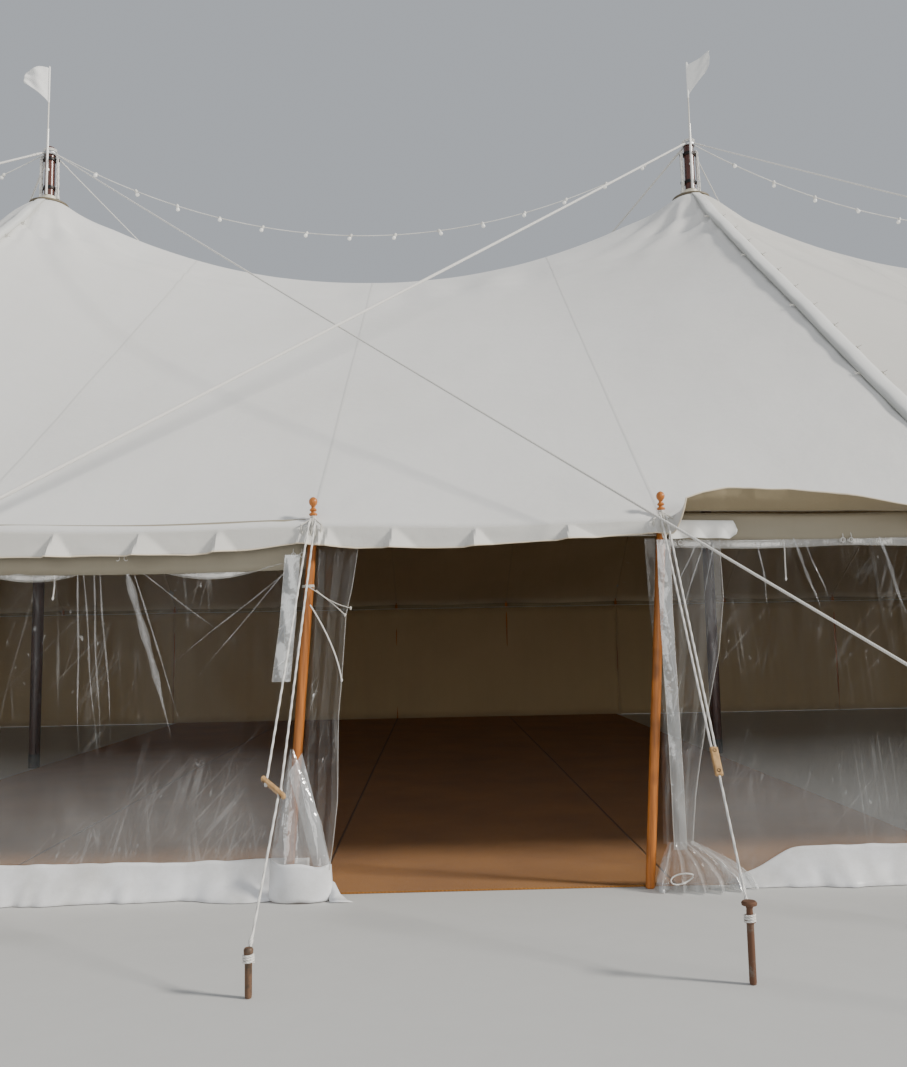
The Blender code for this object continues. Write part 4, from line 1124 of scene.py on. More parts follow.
def cord_curve(name, line, radius, finish):
    """A round cord that follows a line of points."""
    data = bpy.data.curves.new(name, "CURVE")
    data.dimensions = "3D"
    data.bevel_depth = radius
    data.bevel_resolution = 2
    data.use_fill_caps = True
    spline = data.splines.new("POLY")
    spline.points.add(len(line) - 1)
    spline.points.foreach_set("co", np.column_stack([line, np.ones(len(line))]).ravel())
    data.materials.append(FINISHES[finish])
    return data


def build_lights(looks):
    """A sagging lamp string between each two king poles."""
    tree = hang_tree()
    holder, lamp = Skin(), Skin()
    holder.turned([(0.0175, -0.024), (0.0195, -0.021), (0.0195, 0.004), (0.015, 0.012), (0.0115, 0.020),
                   (0.006, 0.022)], sides=14)
    lamp.turned([(0.002, -0.066), (0.014, -0.064), (0.0215, -0.056), (0.024, -0.047), (0.0225, -0.038),
                 (0.0185, -0.029), (0.016, -0.022), (0.015, -0.018)], sides=16)
    share = np.linspace(0, 1, 41)
    for index in range(3):
        start = np.array([KINGS[index] + 0.0837, 0.0, storm_level(index)])
        end = np.array([KINGS[index + 1] - 0.0837, 0.0, storm_level(index + 1)])
        line = start + (end - start) * share[:, None]
        line[:, 2] -= looks.sag * (1 - (2 * share - 1) ** 2)
        length = float(np.linalg.norm(np.diff(line, axis=0), axis=1).sum())
        hung = [run_tree(f"light_string_{name}_{index + 1}", tree,
                         cord_curve("lamp_line", line, 0.0, finish), part, finish, slot, sharp=180.0,
                         Count=looks.lamps + 2)
                for name, part, finish, slot in (("holders", holder, "white rubber", "iron"),
                                                 ("lamps", lamp, "lamp glass", "lamp"))]
        name = f"light_cable_{index + 1}"
        cable = dress(show(name, cord_curve(name, line, looks.cable / 2, "white rubber")), "lamp",
                      f"light_string_{index + 1}")


# Side poles, wall ropes and guys


def finial_skin(skin, x=0.0, y=0.0, z=0.0, sides=16):
    """Ball, two rings and neck turned in one piece."""
    skin.turned([(0.013, 0.0), (0.021, 0.002), (0.0245, 0.008), (0.0215, 0.015), (0.0135, 0.019),
                 (0.012, 0.025), (0.0185, 0.029), (0.0215, 0.034), (0.0185, 0.040), (0.0125, 0.044),
                 (0.0105, 0.051), (0.0135, 0.058), (0.0205, 0.066), (0.0245, 0.077), (0.0245, 0.087),
                 (0.0205, 0.098), (0.0125, 0.106), (0.003, 0.11)], (x, y, z), sides)


def build_side_poles():
    """Side poles with their finials all round, the two leaning door poles and the wall ropes."""
    spots = [(x, side * HALF_WIDTH) for x in SIDE_XS for side in (-1, 1) if not (side < 0 and x in DOOR_XS)]
    spots += [(side * END_X, y) for y in END_YS for side in (-1, 1)]
    pin = [(0.0078, 2.03), (0.0078, EAVE_Z + 0.026)]
    shaft = Skin()
    shaft.turned([(0.0225, 0.0), (0.0245, 0.003), (0.0245, 0.08), (0.0262, 0.082), (0.027, 0.6), (0.027, 1.5),
                  (0.0255, 1.965), (0.024, 2.03), (0.020, 2.04)], sides=16)
    shaft.turned(pin, sides=10)
    rows = [f"side_poles_{row}" for row in ("front_left", "front_right", "back", "end_left", "end_right")]
    set_out("side_pole_shafts", shaft, [((x, y, 0), (0, 0, 1.7 * k)) for k, (x, y) in enumerate(spots)],
            "varnished", "varnished", *rows)
    finial = Skin()
    finial_skin(finial)
    set_out("side_pole_finials", finial,
            [((x, y, EAVE_Z + 0.024), (0, 0, k)) for k, (x, y) in enumerate(spots)], "varnished", "varnished")
    for name, x in zip(("left", "right"), DOOR_XS):
        post = Skin()
        post.turned([(0.0225, 0.0), (0.0255, 0.003), (0.0255, 0.07), (0.0272, 0.073), (0.0275, 0.5),
                     (0.0275, 1.0), (0.0272, 1.5), (0.026, 1.95), (0.025, 2.025), (0.021, 2.04)],
                    (x, -HALF_WIDTH, 0), 28, lean=DOOR_LEAN)
        post.turned(pin, (x, -HALF_WIDTH, 0), 12, 1)
        finial_skin(post, x, -HALF_WIDTH, EAVE_Z + 0.024, 28)
        post.piece(f"door_post_{name}", ["varnished", "dark iron"], "varnished", f"door_pole_{name}")
    ropes = Skin()
    x, y = END_X - SIDE_RADIUS, HALF_WIDTH - SIDE_RADIUS
    clear = SIDE_RADIUS + 0.001
    for start, end, side in ((-END_X, DOOR_XS[0], -1), (DOOR_XS[0], DOOR_XS[1] - clear, -1),
                             (DOOR_XS[1] + clear, END_X, -1), (-END_X, END_X, 1)):
        along = np.linspace(start, end, max(8, int((end - start) / 0.25)))
        ropes.tube(weave(along, side * y, ROPE_Z - 0.2 * eave_dip(along)), 0.0055, 6)
    for side in (-1, 1):
        ropes.tube(weave(side * x, np.linspace(-y + 0.008, y - 0.008, 50), ROPE_Z), 0.0055, 6)
    ropes.piece("wall_ropes", ["rope"], "rope")


def guy_frame(shift, height, tilt):
    """Start, foot, slider's middle and directions of one guy, from the foot of its pole."""
    across = np.array([1.0, 0.0, 0.0])
    start = np.array([0, -0.062, FOLD_Z + 0.016])
    foot = np.array([-shift, -STAKE_LINE, 0.8 * height])
    centre = start + (foot - start) * SLIDER_SHARE
    down = (foot - start) / np.linalg.norm(foot - start)
    across = across - down * np.dot(across, down)
    across /= np.linalg.norm(across)
    lay = down * math.cos(math.radians(tilt)) + across * math.sin(math.radians(tilt))
    beside = across - lay * np.dot(across, lay)
    beside /= np.linalg.norm(beside)
    return across, start, foot, centre, down, lay, beside


def guy_ropes_skin(skin, shift=0.0, height=0.24, tilt=0.0, sides=6, turns=0.0):
    """The loop over the pin, the pair of ropes, the slider's knots and the single rope to the stake."""
    across, start, foot, centre, down, lay, beside = guy_frame(shift, height, tilt)
    rope = 0.005
    pin = np.array([0, 0, EAVE_Z + 0.012])

    def knot(place, length, girth):
        """A short thick place in a rope."""
        skin.tube([place - down * length, place, place + down * length],
                  [rope * 1.2, rope * girth, rope * 1.2], sides)

    for side in (-1, 1):
        end = centre + beside * side * 0.009 + lay * (side if tilt else -1) * 0.0375
        first = start + across * side * 0.016
        back = pin + np.array([0, 0.013, 0]) + across * side * 0.004
        share = np.linspace(0, 1, 220 if turns else 4)[:, None]
        skin.tube(np.vstack([[back], [pin + across * side * 0.013], first + (end - first) * share]), rope,
                  sides, turns=turns)
        knot(end, 0.012, 2.0)
    leave = centre + lay * 0.0375
    last = foot - down * 0.014
    skin.tube(leave + (last - leave) * np.linspace(0, 1, 80 if turns else 3)[:, None], rope, sides,
              turns=turns)
    knot(leave, 0.012, 1.9)
    knot(last - down * 0.05, 0.02, 2.1)
    coil_round(skin, foot[0], foot[1], foot[2] - 0.004, 0.0148, rope, 0, 3 if turns else 2)


def slider_skin(skin, shift=0.0, height=0.24, tilt=0.0, bored=False, edge_on=False):
    """The wooden slider of a guy, a bar with cut corners; a bored one shows the rims of its holes, near-black
    as painted shade.
    """
    _, _, _, centre, _, lay, beside = guy_frame(shift, height, tilt)
    across = np.cross(lay, beside)
    if edge_on:
        beside, across = across, -beside
    turn = Matrix((beside, across, lay)).transposed().to_4x4()
    skin.slab((0.036, 0.02, 0.15), Matrix.Translation(centre) @ turn, 0.005)
    round_hole = np.linspace(0, 2 * math.pi, 13)[:, None]
    # The hole rims take the near-black bore finish: painted shade in the bores.
    for end in (-1, 1) if bored else ():
        for face in (-1, 1):
            hole = centre + lay * end * 0.052 + across * face * 0.0102
            skin.tube(hole + (beside * np.cos(round_hole) + lay * np.sin(round_hole)) * 0.0075, 0.0022, 5, 1)


def build_guys():
    """Every pole's guy: ropes, wooden slider and stake, with the doorway's two made singly."""
    places = [((x, side * HALF_WIDTH, 0), (0, 0, math.pi if side > 0 else 0.0))
              for x in SIDE_XS for side in (-1, 1) if not (side < 0 and x in DOOR_XS)]
    places += [((side * END_X, y, 0), (0, 0, side * math.pi / 2)) for y in END_YS for side in (-1, 1)]
    ropes, sliders, stakes = Skin(), Skin(), Skin()
    guy_ropes_skin(ropes)
    slider_skin(sliders)
    stake_skin(stakes, 0.0, -STAKE_LINE, 0.24, 0)
    rows = [f"guys_{row}" for row in ("front_left", "front_right", "back", "end_left", "end_right")]
    set_out("guy_ropes", ropes, places, "rope", "rope", *rows)
    set_out("guy_sliders", sliders, places, "pale wood", "varnished")
    set_out("guy_stakes", stakes, places, "rusty", "iron")
    for name, x, height, tilt, steel in (("left", DOOR_XS[0], 0.19, 50.0, "brown stake"),
                                         ("right", DOOR_XS[1], 0.32, 0.0, "rusty")):
        headed = name == "right"
        rope, bar, stake = Skin(), Skin(), Skin()
        guy_ropes_skin(rope, DOOR_GUY_SHIFT, height, tilt, 12, 28.0)
        slider_skin(bar, DOOR_GUY_SHIFT, height, tilt, True, not headed)
        stake_skin(stake, -DOOR_GUY_SHIFT, -STAKE_LINE, height, 0, headed)
        for skin in (rope, bar, stake):
            skin.points = [points + (x, -HALF_WIDTH, 0.0) for points in skin.points]
        rope.piece(f"door_guy_{name}", ["white rope"], "rope", f"guy_door_{name}")
        bar.piece(f"door_guy_slider_{name}", ["pale wood", "shaded bores"], "varnished")
        stake.piece(f"door_guy_stake_{name}", [steel], "iron")


# Walls and doorway

LEFT_FAN = ((17.0, 0.045, 0.014, 0.8), (33.0, 0.030, 0.010, 0.45), (-13.0, 0.030, 0.008, 0.5))
RIGHT_FAN = ((20.0, 0.014, 0.010, 0.6), (6.0, 0.030, 0.008, 0.9), (-4.0, 0.05, 0.008, 1.2))
LEFT_PINCHES = ((-0.27, 1.79, 1.5, 0.98, 0.7), (-0.235, 1.79, 5.0, 0.95, 0.5), (-0.18, 1.79, 3.0, 0.96, 0.6),
                (-0.145, 1.79, 5.0, 0.92, 0.6), (0.01, 1.79, 16.0, 0.92, 2.6), (0.05, 1.78, 18.0, 0.82, 0.6),
                (0.90, 1.79, -40.0, 0.58, 0.4), (0.90, 1.78, -52.0, 0.5, 0.4), (0.10, 1.79, 52.0, 0.38, 0.4))
RIGHT_PINCHES = ((0.19, 1.90, -26.0, 0.30, 0.5), (0.24, 1.91, -20.0, 0.42, 0.5),
                 (0.30, 1.91, -14.0, 0.36, 0.4), (0.76, 1.93, 18.0, 0.44, 1.1),
                 (0.82, 1.92, 20.0, 0.40, 0.6), (0.55, 1.92, 7.0, 0.42, 0.6), (1.26, 1.93, 16.0, 0.50, 1.3),
                 (1.62, 1.90, 12.0, 0.4, 0.5))


def hook_spots(start, end, step):
    """Even hook places along a wall, close to the step apart."""
    count = max(2, int(round((end - start) / step)) + 1)
    return np.linspace(start + 0.05, end - 0.06, count)


def wall_pinches(name, starts, pinches):
    """Folds pinched into a clear wall: long thin tapering ridges of doubled film."""
    skin = Skin()
    share = np.linspace(0, 1, 24)
    lines = [(start + line[0], *line[1:]) for start in starts for line in pinches]
    lines = [line for line in lines if 0.2 - WALL_X < line[0] < WALL_X - 0.3]
    for number, (x, z, lean, drop, width) in enumerate(lines):
        px = x + math.tan(math.radians(lean)) * drop * share + 0.006 * np.sin(7 * share + number) * share
        py = -WALL_Y - 0.030 - 0.006 * np.sin(9 * share + 2 * number)
        girth = 0.0075 * width * ease(share, -0.12, 0.12) * ease(1 - share, 0.0, 0.5)
        girth = np.maximum(girth * (1 + 0.25 * np.sin(23 * share + 3 * number)), 0.0006)
        skin.tube(weave(px, py, z - drop * share), girth, 6, flat=0.35, up=(0.0, 1.0, 0.0))
    piece = skin.piece(name, ["film fold"], "clear", sharp=60.0)
    net_area(skin) / 2


def wall_folds(along, z, origins, fan, depth, seed):
    """How far the hanging sheet stands out: creases that fan down from its fixings, and broad waves."""
    drop = np.maximum(WALL_TOP - z, 0.0)
    broad = ripples(along + 0.1 * np.sin(1.3 * z), z * 0.22, 0, 1.9, seed)
    stand = depth * (broad + 0.25 * ripples(along, z * 0.3, 0, 6.0, seed + 3))
    for number, origin in enumerate(origins):
        near = np.abs(along - origin) < 1.3
        offset = along[near] - origin
        for lean, width, deep, length in fan:
            turn = math.radians(lean + 3.0 * math.sin(4.7 * number + lean))
            beside = (offset - drop * math.tan(turn)) / (width * (0.35 + 1.1 * drop))
            stand[:, near] += deep * np.exp(-beside ** 2 - drop / length) * ease(drop, 0.0, 0.12)
    return stand


def front_wall(name, start, end, node, looks, seed, hang, sag_depth, fan, origins):
    """One run of clear wall with its milky top band and white skirt; its points are closest near the door."""
    right = start > 0
    away = abs(end - start)
    steps = np.concatenate([np.linspace(0, 2.6, 131), np.linspace(2.6, away, int((away - 2.6) / 0.08))[1:]])
    along = start + steps if right else (end - steps)[::-1]
    z = np.concatenate([np.linspace(WALL_TOP, WALL_TOP - 0.06, 4),
                        np.linspace(WALL_TOP - 0.1, 0.004, 27)])[:, None]
    hooks = hook_spots(start, end, 1.0)
    top = WALL_TOP - hang - dips(along, hooks, sag_depth, 1.3)
    heights = np.maximum(top * (z / WALL_TOP), 0.004)
    stand = wall_folds(along, z, origins, fan, looks.fold, seed) * ease(z, -0.1, 0.25)
    points = weave(along, -WALL_Y - 0.004 + 0.03 * np.tanh(stand * 0.9 / 0.03), heights)
    skin = Skin()
    skin.net(points, weave(along, heights), turned=True)
    piece = thicken(skin.piece(name, ["clear"], "clear", node, sharp=60.0), 0.0012)
    hem = Skin()
    rise = np.linspace(0.006, -0.052, 5)[:, None]
    hem.net(points[0] + weave(0, -0.004 - 0.003 * np.sin(60 * rise), rise), weave(along, rise), turned=True)
    piece = thicken(hem.piece(name + "_hem", ["milky"], "clear"), 0.0012)
    reach = along[along > start + 0.30] if right else along
    corner = 0.3 + 0.7 * ease(reach, start + 0.30, start + 0.70) if right else 1.0
    low = np.linspace(0.2, 0.002, 10)[:, None]
    wave = ripples(reach, low * 0.6, 0, 3.0, seed + 5)
    tucks = np.abs(np.sin(reach * 2.9 + 0.7 * np.sin(reach * 1.7))) ** 8
    kick = (0.004 + 0.085 * (1 - low / 0.2) ** 2.2) * (1 + 0.5 * wave)
    y = -WALL_Y - 0.008 - kick - 0.03 * tucks * (1 - low / 0.2)
    skirt = Skin()
    skirt.net(weave(reach, y, np.maximum(low * corner * (1 + 0.06 * wave), 0.002)), weave(reach, low),
              turned=True)
    piece = thicken(skirt.piece(name + "_skirt", ["white sheet"], "clear"), 0.0014)
    return hooks, top[np.searchsorted(along, hooks).clip(0, len(along) - 1)]


def wall_headers():
    """Short cloth headers between the poles, above the clear walls, dark beige as painted shade."""
    share = np.linspace(0, 1, 7)[:, None]
    for name, first, last, low_z in (("left", -8, 0, 1.80), ("right", 1, 9, 1.935)):
        skin = Skin()
        for k in range(first, last):
            start, end = POLE_SPACING * k + 0.045, POLE_SPACING * (k + 1) - 0.045
            if start < -END_X or end > END_X:
                continue
            along = np.linspace(start, end, 32)
            high = CROWN_Z - FALL * HEADER_Y - 0.004 - eave_dip(along)
            low = low_z - 0.012 * np.sin(math.pi * (along - start) / (end - start))
            z = high + (low - high) * share
            wave = 0.010 * share * ripples(along, 1.5 * share, 0, 2.4, 12) + 0.010 * np.sin(math.pi * share)
            skin.net(weave(along, -HEADER_Y - wave, z), weave(along, z), turned=True)
        piece = thicken(skin.piece(f"wall_header_{name}", ["painted shade header"], "canvas"), 0.002)
        float(high.mean() - low_z) + 0.01


def build_clear_walls(looks):
    """The clear walls of the front with their headers, milky hems, white skirts, hooks and ties."""
    spots, ties = [], []
    clear = SIDE_RADIUS + 0.003
    for name, start, end, seed, hang, deep, fan, origins in (
            ("left", -WALL_X + 0.004, DOOR_XS[0] - clear, 3, 0.055, 0.10, LEFT_FAN,
             [-1.06 - 1.0 * k for k in range(17)] + [-0.1]),
            ("right", DOOR_XS[1] + clear, WALL_X - 0.004, 8, 0.022, 0.012, RIGHT_FAN,
             [2.10 + 0.56 * k for k in range(28)])):
        hooks, tops = front_wall(f"clear_wall_{name}", start, end, f"wall_front_{name}", looks, seed, hang,
                                 deep, fan, origins)
        for number, (hook, top) in enumerate(zip(hooks, tops)):
            for shift in (-0.022, 0.022):
                spots.append(((hook + shift, -WALL_Y - 0.004, top - 0.01), (0, 0, 6.0 * shift)))
            if number % 2:
                ties.append(((hook - 0.38, -WALL_Y - 0.006, top - 0.02), (0, 0, 1.3 * number)))
    wall_pinches("wall_folds_left", [-1.06 - 2.0 * k for k in range(9)], LEFT_PINCHES)
    wall_pinches("wall_folds_right", [2.0 + 2.0 * k for k in range(9)], RIGHT_PINCHES)
    wall_headers()
    hook = Skin()
    hook.tube([(0, -0.018, 0.0), (0, -0.020, 0.012), (0, -0.012, 0.03), (0, 0.0, 0.041), (0, 0.007, 0.034)],
              0.0026, 6)
    turn = np.linspace(0, 2 * math.pi, 13)
    hook.tube(weave(0.012 * np.cos(turn), -0.0165, -0.013 + 0.013 * np.sin(turn)), 0.0034, 7)
    set_out("wall_hooks", hook, spots, "white rope", "rope")
    tie = Skin()
    tie.tube([(0.0, -0.012, 0.02), (0.002, -0.017, -0.03), (0.008, -0.017, -0.1), (0.006, -0.016, -0.15),
              (0.013, -0.016, -0.22)], 0.004, 7)
    tie.tube([(0.0125, -0.016, -0.212), (0.0135, -0.016, -0.222), (0.0145, -0.016, -0.232)],
             [0.004, 0.0075, 0.003], 7)
    set_out("wall_ties", tie, ties, "white rope", "rope")


def cloth_wall(name, node, first, last, looks, seed):
    """One pleated cloth wall between two corners, white outside and cream inside, the cream darkened as
    painted shade.
    """
    length = float(np.linalg.norm(np.subtract(last, first)))
    along = np.linspace(0, length, int(length / 0.06) + 1)
    direction = np.subtract(last, first) / length
    z = np.linspace(WALL_TOP - 0.002, 0.003, 15)[:, None]
    gather = np.sin(2 * math.pi * along / 0.31 + 0.9 * np.sin(1.1 * along))
    stand = looks.pleat * gather * (0.35 + 0.65 * ease(-z, -WALL_TOP, -WALL_TOP + 0.5))
    stand = (stand * (0.55 + 0.45 * np.sin(0.83 * along + seed))
             + 0.012 * ripples(along, z * 0.5, 0, 1.3, seed))
    stand = np.clip(stand, -0.028, 0.028)
    heights = z - dips(along, hook_spots(0, length, 0.5), 0.012, 1.3) * (z / WALL_TOP) ** 2
    points = weave(first[0] + direction[0] * along - direction[1] * stand,
                   first[1] + direction[1] * along + direction[0] * stand, np.maximum(heights, 0.002))
    skin = Skin()
    skin.net(points, weave(along, z), turned=True)
    piece = thicken(skin.piece(name, ["wall canvas", "cream"], "cream", node), 0.002, inner=1)


def build_cloth_walls(looks):
    """Cloth walls along the back and round both ends."""
    breaks = [-WALL_X - 0.002, *KINGS, WALL_X + 0.002]
    for number, (start, end) in enumerate(zip(breaks, breaks[1:]), 1):
        cloth_wall(f"cloth_wall_back_{number}", "wall_back", (end, WALL_Y), (start, WALL_Y), looks, number)
    stop = WALL_Y - 0.035
    for name, side, seed in (("left", -1, 21), ("right", 1, 22)):
        cloth_wall(f"cloth_wall_end_{name}", f"wall_end_{name}", (side * WALL_X, -side * stop),
                   (side * WALL_X, side * stop), looks, seed)


def edge_at(levels, z):
    """Values at each height, from (height, values) down a curtain."""
    levels = np.array(levels)[::-1]
    return [np.interp(z, levels[:, 0], column)[:, None] for column in levels.T[1:]]


def film_sheet(name, levels, folds, seed, finish, *nodes, sharpness=0.0, hem=0.0):
    """A sheet between two edges: each level gives height, near x, far x, near y, far y and fold depth."""
    z = np.linspace(levels[0][0], levels[-1][0], 60)
    near_x, far_x, near_y, far_y, deep = edge_at(levels, z)
    z = z[:, None]
    u = np.linspace(0, 1, 84)
    wander = ripples(u * 1.6, z * 0.9, 0, 1.0, seed)
    phase = 2 * math.pi * folds * (u + 0.05 * wander) + 0.5 * np.sin(2.1 * z + seed)
    wave = np.sin(phase) + sharpness * np.abs(np.sin(0.5 * phase + 0.8)) ** 0.7
    x = near_x + (far_x - near_x) * (u + 0.02 * np.sin(2 * phase) * np.sin(math.pi * u))
    y = near_y + (far_y - near_y) * u - deep * (0.7 + wave) * (0.3 + 0.7 * np.sin(math.pi * u) ** 0.6)
    y = y - 0.35 * deep * ripples(u * 3.0, z * 2.6, 0, 2.0, seed + 1)
    points = weave(x, y, np.maximum(z, 0.003))
    skin = Skin()
    skin.net(points, weave(runs(np.linalg.norm(np.diff(points[30], axis=0), axis=1)), z), turned=True)
    area = net_area(skin)
    if hem:
        skin.tube(points[:, -1], hem, 6, 1)
    piece = skin.piece(name, [finish, "milky"], "clear", *nodes, sharp=60.0)


def build_curtains():
    """The drawn-back clear curtains and the sheets at their feet."""
    film_sheet("clear_curtain_left", [
        (1.93, 0.005, 0.255, -6.062, -6.085, 0.006), (1.70, -0.005, 0.222, -6.064, -6.11, 0.012),
        (1.535, -0.012, 0.186, -6.066, -6.125, 0.020), (1.17, -0.035, 0.160, -6.068, -6.14, 0.026),
        (0.955, -0.05, 0.141, -6.075, -6.15, 0.028), (0.72, -0.06, 0.138, -6.09, -6.16, 0.026),
        (0.52, -0.06, 0.136, -6.11, -6.175, 0.022), (0.3, -0.05, 0.112, -6.13, -6.19, 0.016),
        (0.16, -0.04, 0.092, -6.14, -6.2, 0.008)], 2.6, 2, "clear curtain", "door_curtain_left",
        sharpness=0.9, hem=0.0024)
    film_sheet("clear_foot_left", [
        (0.80, -0.128, -0.110, -6.142, -6.150, 0.003), (0.66, -0.155, -0.055, -6.145, -6.165, 0.008),
        (0.42, -0.200, 0.045, -6.150, -6.190, 0.014), (0.19, -0.232, 0.100, -6.160, -6.215, 0.022)],
        1.6, 5, "milky foot", sharpness=0.7, hem=0.0018)
    film_sheet("clear_curtain_right", [
        (1.945, 1.905, 2.335, -6.062, -6.080, 0.006), (1.6, 1.915, 2.340, -6.064, -6.085, 0.010),
        (1.3, 1.932, 2.30, -6.068, -6.09, 0.014), (0.9, 1.95, 2.20, -6.08, -6.10, 0.020),
        (0.5, 1.94, 2.12, -6.09, -6.11, 0.022), (0.24, 1.93, 2.09, -6.10, -6.12, 0.018)],
        3.3, 6, "clear curtain", "door_curtain_right", sharpness=0.5, hem=0.0024)
    film_sheet("foot_bunch_right", [
        (0.25, 1.955, 2.10, -6.125, -6.115, 0.012), (0.15, 1.905, 2.30, -6.14, -6.12, 0.028),
        (0.07, 1.87, 2.40, -6.15, -6.13, 0.040), (0.004, 1.86, 2.43, -6.16, -6.14, 0.048)],
        5.3, 9, "milky foot", sharpness=0.9)


def build_webbing():
    """The webbing on the curtains' edges."""
    u = np.linspace(0, 1, 7)
    for name, levels in (
            ("left", ((1.88, -0.155, -0.071), (1.5, -0.185, -0.097), (1.17, -0.228, -0.128))),
            ("right", ((1.93, 1.959, 2.034), (1.472, 1.962, 2.034), (0.805, 1.977, 2.046),
                       (0.21, 1.984, 2.052)))):
        z = np.linspace(levels[0][0], levels[-1][0], 50)
        near, far = edge_at(levels, z)
        z = z[:, None]
        y = -6.142 - 0.006 * np.sin(3.1 * z) - 0.006 * np.sin(math.pi * u) + 0.003 * np.sin(23 * z + 4 * u)
        points = weave(near + (far - near) * u, y, z)
        skin = Skin()
        skin.net(points, weave(0.08 * u, z), turned=True)
        for edge in (0, -1):
            skin.tube(points[:, edge], 0.0028, 6, 1)
        piece = skin.piece(f"door_webbing_{name}", ["film webbing", "milky"], "clear")


def build_door_cords():
    """The curtains' ties, the coil and loop beside them and the lashings at the door poles' heads."""
    cords = Skin()
    share = np.linspace(0, 1, 14)[:, None]
    for mark, girth, start, bend, end in (
            (1, 0.0030, (-0.043, -6.135, 1.708), (0.08, -6.16, 1.64), (0.181, -6.150, 1.535)),
            (0, 0.0042, (-0.015, -6.135, 1.595), (0.135, -6.17, 1.36), (0.162, -6.168, 1.174)),
            (1, 0.0026, (0.019, -6.135, 1.678), (0.10, -6.165, 1.60), (0.214, -6.155, 1.573))):
        start, bend, end = np.array([start, bend, end])
        cords.tube((1 - share) ** 2 * start + 2 * share * (1 - share) * bend + share ** 2 * end, girth, 7,
                   mark)
        cords.tube([end + (0, 0, 0.010), end, end - (0, 0, 0.010)], [0.003, 0.0075, 0.003], 8, mark)
    coil_round(cords, -0.03, -6.1, 1.7, 0.029, 0.0036, 1, 2)
    turn = np.linspace(0.3, 2 * math.pi - 0.2, 22)
    cords.tube(weave(2.0 + 0.062 * np.cos(turn), -6.225 - 0.01 * np.sin(2 * turn),
                     0.075 + 0.026 * np.sin(turn) + 0.012 * np.cos(turn)), 0.0042, 7)
    turn = np.linspace(math.pi, 2 * math.pi, 12)
    for x in DOOR_XS:
        coil_round(cords, x, -HALF_WIDTH, EAVE_Z + 0.013, 0.0085, 0.005, 0, 2)
        for shift, deep, reach in ((-0.03, 0.075, 0.032), (0.028, 0.06, 0.026), (0.0, 0.11, 0.018)):
            drop = weave(x + shift + reach * np.cos(turn), -FOLD_Y - 0.016 - 0.012 * np.sin(turn),
                         EAVE_Z - 0.035 + deep * np.sin(turn))
            cords.tube([(x, -HALF_WIDTH - 0.012, EAVE_Z + 0.01), *drop,
                        (x, -HALF_WIDTH - 0.012, EAVE_Z + 0.013)],
                       0.0046, 7, 1)
    cords.piece("door_cords", ["white rope", "rope"], "rope")


def build_door_cloths():
    """White sheets at the left pole's foot and beside the right pole's head."""
    turn = np.linspace(math.pi * 1.02, math.pi * 2.05, 40)
    z = np.linspace(0.2, 0.003, 12)[:, None]
    x = -0.066 + 0.166 * np.cos(turn) * (1 + 0.06 * (0.2 - z) / 0.2)
    y = -6.165 + 0.085 * np.sin(turn) * (1 + 0.05 * np.sin(3 * turn + 9 * z))
    top = 0.016 * np.cos(turn) * (z / 0.2) + 0.006 * np.sin(5 * turn)
    roll = Skin()
    roll.net(weave(x, y, np.maximum(z - top, 0.003)), weave(0.16 * turn, z), turned=True)
    tail = np.array([[(0.095, -6.165, 0.10), (0.118, -6.175, 0.09)],
                     [(0.094, -6.19, 0.045), (0.150, -6.2, 0.036)],
                     [(0.092, -6.22, 0.012), (0.190, -6.225, 0.010)],
                     [(0.098, -6.245, 0.004), (0.222, -6.25, 0.004)]])
    roll.net(tail, 0 * tail[..., :2], turned=True)
    piece = thicken(roll.piece("door_skirt_left", ["white sheet"], "clear"), 0.0016)
    share = np.linspace(0, 1, 30)[:, None, None]
    u = np.linspace(0, 1, 12)[:, None]
    left = np.array([-0.135, -6.146, 0.675]) + share * (0.135, -0.005, -0.50)
    right = np.array([-0.060, -6.146, 0.780]) + share * (0.155, -0.03, -0.605)
    points = left * (1 - u) + right * u
    points[..., 1:2] -= 0.012 * np.sin(math.pi * u) * share + 0.006 * np.sin(9 * share + 7 * u)
    lining = Skin()
    lining.net(points, points[..., [0, 2]], turned=True)
    piece = lining.piece("door_lining_left", ["milky lining"], "clear")
    u = np.linspace(0, 1, 60)
    v = np.linspace(0, 1, 14)[:, None]
    high = np.interp(u, [0, 0.12, 0.45, 0.97, 1.0], [2.035, 2.045, 2.04, 2.035, 2.0])
    low = np.interp(u, [0, 0.3, 0.6, 0.9, 1.0], [1.935, 1.942, 1.938, 1.934, 1.96])
    x = 2.03 + 0.39 * u + 0.01 * np.sin(3 * v) * u
    y = (-6.125 - 0.007 * np.sin(17 * u + 1.5 * v) * (0.3 + v)
         - 0.006 * np.abs(np.sin(9 * u - 2 * v)) ** 0.5 * v)
    z = high + (low - high) * v
    points = weave(x, y, z)
    flap = Skin()
    flap.net(points, weave(x, z), turned=True)
    flap.tube(points[-1], 0.0035, 6)
    piece = thicken(flap.piece("door_flap_right", ["strip"], "canvas"), 0.002)


def build_door():
    """Everything that hangs at the doorway: curtains, cloths, webbing and cords."""
    build_curtains()
    build_door_cloths()
    build_webbing()
    build_door_cords()


def build_floor():
    """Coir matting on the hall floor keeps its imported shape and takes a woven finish."""
    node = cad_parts["floor_matting"]
    node.data.materials.clear()
    node.data.materials.append(FINISHES["coir"])


# Settings, operators and panel


def colour(name, description, default):
    """A colour setting."""
    return FloatVectorProperty(name=name, description=description, default=default, subtype="COLOR", min=0,
                               max=1)


def length(name, description, default):
    """A length setting in metres."""
    return FloatProperty(name=name, description=description, default=default, unit="LENGTH", min=0.0)


